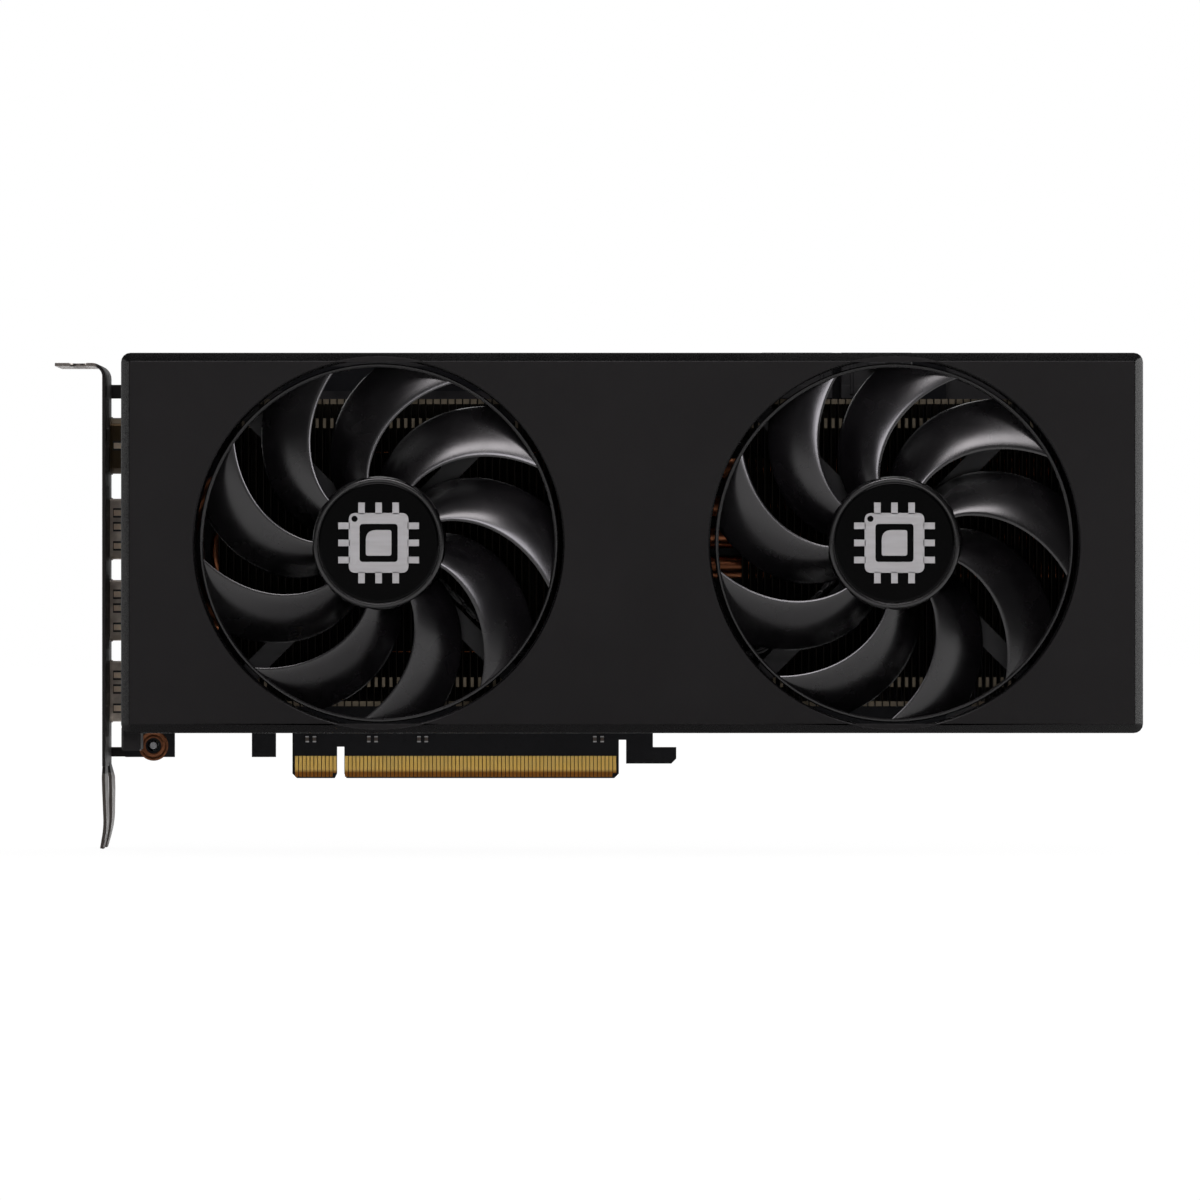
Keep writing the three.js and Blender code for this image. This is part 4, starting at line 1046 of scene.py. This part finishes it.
def bracket_plate():
    """The flat of the bracket, pierced for the sockets and by three columns of vents."""
    low, high = cad("io_bracket")
    vent_width, vent_height, vent_pitch, lowest_vent = 4.4, 8.2, 11.4, 11
    gap = 0.3
    holes = []
    for number in range(1, 5):
        port_low, port_high = cad("video_port_%d" % number)
        edges = (port_low.y - gap, port_high.y + gap, port_low.z - gap, port_high.z + gap)
        holes.append(rounded(rectangle(*edges), 0.9))
    for y in (-17.4, -24.9, -32.4):
        for row in range(8):
            z = lowest_vent + vent_pitch * row
            holes.append(rounded(rectangle(y, y + vent_width, z, z + vent_height), 1.5))
    made = Build()
    outline = rounded(rectangle(low.y, high.y, 3.4, high.z - 3.4), [1.2, 1.2, 0, 0])
    made.plate(outline, BRACKET_FACE, BRACKET_FACE + SHEET, holes, 0.12, "x")
    return made


def bracket_flange(made, start, end, notch_y):
    """One tab of the flange with its bend, notched from its -Y side for a chassis screw."""
    low, high = cad("io_bracket")
    bend, radius = 3.5, 2.2
    hinge = BRACKET_FACE + SHEET - bend
    notch_x = BRACKET_FACE - 6.3
    curve = arc((hinge, high.z - bend), bend - SHEET / 2, 0, 90, 8)
    made.plate(ribbon([(curve[0][0], high.z - bend - 0.2)] + curve + [(hinge - 0.2, curve[-1][1])], SHEET),
               start, end, edge=0.12)
    outline = [(low.x, start), (notch_x - radius, start)] + arc((notch_x, notch_y), radius, 180, 0, 12)
    outline += [(notch_x + radius, start), (hinge, start), (hinge, end), (low.x, end)]
    made.plate(outline, high.z - SHEET, high.z, edge=0.12, axis="z")


def bracket_tail(made, middle):
    """A tail that leans inwards, kicks outwards at its tip, and is turned a little between the two."""
    low, _ = cad("io_bracket")
    x = BRACKET_FACE + SHEET / 2
    top, half_width, most_turn = 4.6, 5.1, 0.045
    path = [(x, top), (x, 1.6), (x + 0.1, -1.4), (x + 0.4, -12), (x - 0.7, low.z + 0.15)]
    first = len(made.verts)
    outline = ribbon(rounded(path, [0, 1.4, 1.4, 3.0, 0], 5), SHEET)
    made.plate(outline, middle - half_width, middle + half_width, edge=0.15)
    for i, (across, y, z) in enumerate(made.verts[first:], first):
        turn = most_turn * min(1, max(0, (top - z) / 4)) * min(1, (z - low.z) / 12)
        made.verts[i] = (across + (y - TAILS_PIVOT) * turn, y, z)


def bracket_ear(made, number, neck):
    """An ear that folds inwards behind the board and takes one of its two screws."""
    x, z = spot_of("bracket_screw_%d" % number)
    radius = 4.0
    low_angle = -180 + math.degrees(math.asin((z - neck[0]) / radius))
    high_angle = 180 + math.degrees(math.asin((z - neck[1]) / radius))
    root = BRACKET_FACE + SHEET / 2
    outline = [(root, neck[0])] + arc((x, z), radius, low_angle, high_angle, 28) + [(root, neck[1])]
    made.plate(outline, BOARD_BACK + 0.05, BOARD_BACK + 0.05 + SHEET, [circle(1.3, 20, (x, z))], 0.12)


def slot_bracket():
    low, high = cad("io_bracket")
    made = bracket_plate()
    split = FIRST_SLOT - SLOT_PITCH / 2
    bracket_flange(made, split + 0.9, high.y, FIRST_SLOT - 4)
    bracket_flange(made, low.y, split - 0.9, FIRST_SLOT - SLOT_PITCH - 4)
    for middle in (FIRST_SLOT, FIRST_SLOT - SLOT_PITCH):
        bracket_tail(made, middle)
    bracket_ear(made, 1, (5.6, 8.1))
    bracket_ear(made, 2, (99.1, 102.7))
    return made


def screw(node):
    """A pan-head screw with a cross recess, its head facing +Y."""
    low, high = cad(node)
    x, z = spot_of(node)
    head = (high.x - low.x) / 2
    height = 1.2 if node.startswith("bracket") else 1.4
    seat, shank = high.y - height, 1.2
    arm, reach = head * 0.13, head * 0.58
    cross = four_turns([(reach, -arm), (reach, arm), (arm, arm)], (x, z))
    made = Build()
    made.plate(circle(head, 32, (x, z)), seat + 0.35, high.y, [cross], 0.4, steps=4)
    made.lathe([
        (0, low.y), (shank - 0.3, low.y), (shank, low.y + 0.4), (shank, seat), (head * 0.92, seat),
        (head, seat + 0.1), (head, seat + 0.7), (head * 0.8, seat + 0.8), (0, seat + 0.8),
    ], (x, z), 32)
    return made


def fan_cable(side):
    """Four twisted wires from the motor base to the header."""
    low, high = cad("fan_%s_cable" % side)
    header = centre_of("fan_header")
    towards = 1 if side == "left" else -1
    hub_x, hub_z = FAN_SPOT[side]
    radius = 0.95
    y = low.y + radius
    end_x = high.x - radius if side == "left" else low.x + radius
    base_z = low.z + radius
    corners = []
    aside = 4.2
    for r in (17.5, 44):
        x, z = hub_x + towards * (r + aside) / math.sqrt(2), hub_z + (aside - r) / math.sqrt(2)
        corners.append(Vector((x, y, z)))
    corners += [Vector((end_x - towards * 2.5, y, base_z)), Vector((end_x, y + 2.5, base_z))]
    corners += [Vector((end_x, header.y - 0.2, base_z))]
    path = []
    for a, b in zip(corners, corners[1:]):
        steps = max(2, int((b - a).length / 1.2))
        path += [a.lerp(b, i / steps) for i in range(steps)]
    for _ in range(3):  # eases the corners
        eased = [(a + b * 2 + c) / 4 for a, b, c in zip(path, path[1:], path[2:])]
        path = [path[0]] + eased + [path[-1]]
    made = Build()
    for wire in range(4):
        strand = []
        for i, point in enumerate(path):
            ahead = heading(path, i)
            normal = ahead.orthogonal().normalized()
            turn = math.pi / 2 * wire + i * 0.35
            strand.append(point + (normal * math.cos(turn) + ahead.cross(normal) * math.sin(turn)) * 0.52)
        made.tube(strand, 0.4, 8)
    return made


# --- Assembly ---

def assemble_shroud():
    shroud_cover().object("shroud_cover", SHROUD, replaces="shroud", slot="shroud_plastic")
    shroud_inside().object("shroud_posts", SHROUD, slot="shroud_plastic")


def assemble_fan(side):
    body = "fan_%s_spinner" % side
    label = "fan_%s_" % side
    fan_blades(side).object(label + "blades", FAN, body, label + "rotor", "fan_plastic", sharp=50)
    fan_hub(side).object(label + "hub", FAN, body, slot="fan_plastic", sharp=40)
    fan_badge(side).object(label + "badge_disc", BADGE, body, label + "badge", "badge_plastic")
    chip_sign(side).object(label + "badge_sign", SILVER, body, slot="plated_shell")


def assemble_board():
    for face in ("front", "back"):
        name = "edge_contacts_" + face
        slot_contacts(face).object("contact_pads_" + face, GOLD, replaces=name, slot="contact_gold")
    tab_ring().object("tab_copper_ring", DULL_COPPER, slot="copper")
    for label, parts in (("front", capacitors(front_places(), -1, 1.6, 0.9)),
                         ("back", capacitors(back_places(), 1, 1.0, 0.5))):
        parts[0].object("capacitor_bodies_" + label, CERAMIC, slot="ferrite")
        parts[1].object("capacitor_ends_" + label, SOLDER, slot="plated_shell")
    cans, bases = polymer_cans()
    cans.object("polymer_cans", CAN, slot="plated_shell")
    bases.object("polymer_can_bases", SOCKET, slot="socket_plastic")


def assemble_sockets():
    for number in range(1, 5):
        name = "video_port_%d" % number
        metal = DARK_PLATED if number == 1 else PLATED
        port_shell(number).object(name + "_shell", metal, replaces=name, slot="plated_shell")
    fingers, slots = port_fingers()
    fingers.object("video_port_fingers", FINGER_HIGHLIGHT, slot="plated_shell")
    slots.object("video_port_slots", SOCKET, slot="socket_plastic")
    tongues, contacts = port_insides()
    tongues.object("video_port_tongues", SOCKET, slot="socket_plastic")
    contacts.object("video_port_contacts", GOLD, slot="contact_gold")
    for number in (1, 2):
        name = "power_socket_%d" % number
        body, pins = power_socket(number)
        body.object(name + "_body", SOCKET, replaces=name, slot="socket_plastic")
        pins.object(name + "_pins", PLATED, slot="plated_shell")


def assemble_cooler():
    for side in SIDES:
        name = "fin_stack_" + side
        fins, lips = fin_stack(side)
        fins.object(name + "_sheets", FIN_SHADED_METAL, replaces=name, slot="fin_aluminium")
        lips.object(name + "_lips", LIP_HIGHLIGHT_METAL, slot="fin_aluminium")
    for number in range(1, 5):
        name = "heat_pipe_%d" % number
        heat_pipe(number).object(name + "_tube", COPPER, replaces=name, slot="copper")


def assemble_casing():
    back_plate().object("backplate_pressing", POWDER, replaces="backplate", slot="backplate_paint")
    spring_cross().object("spring_cross", SPRING, replaces="spring_bracket", slot="spring_steel")
    slot_bracket().object("slot_bracket_sheet", BRACKET, replaces="io_bracket", slot="bracket_steel")
    for kind, count, metal, slot in (("backplate_screw", 6, SCREW, "screw_steel"),
                                     ("spring_screw", 4, BRIGHT_SCREW, "spring_steel"),
                                     ("bracket_screw", 2, BRIGHT_SCREW, "spring_steel")):
        for number in range(1, count + 1):
            name = "%s_%d" % (kind, number)
            screw(name).object(name + "_turned", metal, replaces=name, slot=slot)
    for side in SIDES:
        name = "fan_%s_cable" % side
        fan_cable(side).object(name + "_wires", CABLE, replaces=name, slot="cable_jacket")


def soften(piece):
    """Rounds a carried-over CAD node's edges with modifiers alone."""
    flat = piece.modifiers.new("flat_faces", "DECIMATE")
    flat.decimate_type = "DISSOLVE"
    flat.angle_limit = math.radians(1)
    rounding = piece.modifiers.new("rounded_edges", "BEVEL")
    rounding.width = 0.12 * MM
    rounding.segments = 2
    rounding.limit_method = "ANGLE"
    rounding.angle_limit = math.radians(35)
    smooth(piece.data, 35)
    keep_flats(piece)


def finish_cad_nodes():
    """Gives each CAD node that is still shown its own material and softened edges."""
    looks = {
        "pcb": BOARD, "memory_plate": PLATE_METAL, "cold_plate": COPPER, "fan_header": SOCKET,
        "gpu_package": CHIP, "memory_chip": CHIP, "choke": FERRITE, "frame": FRAME, "stator": COPPER,
        "bearing": BRONZE, "shaft": SPRING, "magnet": FERRITE,
    }
    for name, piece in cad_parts.items():
        if piece.hide_render:
            continue
        match = next(key for key in looks if key in name)
        piece.data.materials.clear()
        piece.data.materials.append(looks[match])
        soften(piece)


assemble_shroud()
for fan_side in SIDES:
    assemble_fan(fan_side)
assemble_board()
assemble_sockets()
assemble_cooler()
assemble_casing()
finish_cad_nodes()


# --- Stage, light and camera ---

PX_PER_MM = 3.885  # at the shroud's face, in a 1200-pixel picture
LENS_PIXELS = 11903
EYE = Vector((37.69, SHROUD_LOW.y - LENS_PIXELS / PX_PER_MM, 46.5))


def stage_floor():
    """A white sheet under the card, bright to the camera, faintly shadowed, and clear from below."""
    level = cad("io_bracket")[0].z - 0.05
    mesh = bpy.data.meshes.new("floor")
    half = 8000.0
    corners = [Vector((x, y, level)) * MM for x, y in rectangle(-half, half, -half, half)]
    mesh.from_pydata(corners, [], [(0, 1, 2, 3)])
    floor = new_object("floor", mesh)
    finish = Finish("floor_paper", (0.8, 0.8, 0.8), 0.9, specular=0.0)
    floor.data.materials.append(finish.mottle(400, (0.82, 0.82, 0.82), 0.4).done())
    reach = finish.node("VectorMath")
    reach.operation = "LENGTH"
    finish.link(finish.place, reach.inputs[0])
    share = finish.ramp(reach.outputs["Value"], 0.4, 1.2, 0.93, 1.0)
    seen = finish.maths("MULTIPLY", finish.node("LightPath").outputs["Is Camera Ray"], share)
    glow = finish.feed(finish.node("Emission"), {"Strength": 1.02})
    top = finish.either(seen, finish.shader.outputs[0], glow)
    below = finish.node("NewGeometry").outputs["Backfacing"]
    sided = finish.either(below, top, finish.node("BsdfTransparent").outputs[0])
    finish.link(sided, finish.nodes["Material Output"].inputs["Surface"])


def stage_world():
    """White to the camera. What it lights sees it dark in front of the card and grey behind and above."""
    world = bpy.data.worlds.new("studio")
    bpy.context.scene.world = world
    sky = Nodes(world)
    sky.nodes.clear()
    towards = sky.part(sky.node("TexCoord").outputs["Generated"], "Y")
    lights = sky.feed(sky.node("Background"), {"Strength": sky.ramp(towards, -0.1, 0.5, 0.05, 0.6)})
    seen = sky.feed(sky.node("Background"), {"Color": (1, 1, 1, 1)})
    both = sky.either(sky.node("LightPath").outputs["Is Camera Ray"], lights, seen)
    sky.link(both, sky.node("OutputWorld").inputs[0])


def softbox(name, bearing, distance, size, radiance, color=(1, 1, 1)):
    """A soft light aimed at the card. Its bearing is (right, forward of the face, up), of any length."""
    target = Vector((45, -20, 55))
    right, forward, up = bearing
    towards = Vector((right, -forward, up)).normalized()
    lamp = bpy.data.lights.new(name, "AREA")
    lamp.shape = "RECTANGLE"
    lamp.size, lamp.size_y = size[0] * MM, size[1] * MM
    lamp.energy = radiance * math.pi * lamp.size * lamp.size_y
    lamp.color = color
    holder = new_object(name, lamp)
    holder.location = (target + towards * distance) * MM
    holder.rotation_euler = (-towards).to_track_quat("-Z", "Y").to_euler()
    holder.visible_camera = False
    return holder


def stage_lights():
    softbox("key_above", (0.0, 0.66, 0.75), 1900, (1200, 560), 8.7, (1, 0.95, 0.98))
    softbox("low_front", (0.0, 0.85, -0.45), 2400, (2400, 900), 0.34)
    softbox("broad_front", (-0.15, 1.0, 0.16), 2600, (1500, 900), 0.37)
    softbox("above_behind", (0.1, -0.5, 1.0), 1500, (1200, 500), 3)
    softbox("behind_left", (-0.6, -1.0, 0.6), 1700, (900, 700), 3.5)
    softbox("end_right", (1.0, -0.4, 0.2), 1700, (1300, 1300), 8)
    softbox("end_left", (-1.0, -0.35, 0.1), 1700, (900, 1000), 4)
    glint = softbox("between_fans", (0.02, 0.93, 0.36), 165, (100, 60), 8, (0.97, 0.93, 1))
    blades = bpy.data.collections.new("blades_lit_alone")
    for side in SIDES:
        blades.objects.link(bpy.data.objects["fan_%s_blades" % side])
    glint.light_linking.receiver_collection = blades


def stage_camera():
    lens = bpy.data.cameras.new("camera")
    lens.sensor_width = 36
    lens.lens = 36 * LENS_PIXELS / 1200
    lens.clip_end = 30
    camera = new_object("camera", lens)
    camera.location = EYE * MM
    camera.rotation_euler = (math.radians(90), 0, 0)
    bpy.context.scene.camera = camera
    bpy.context.scene.view_settings.view_transform = "Standard"


stage_floor()
stage_world()
stage_lights()
stage_camera()
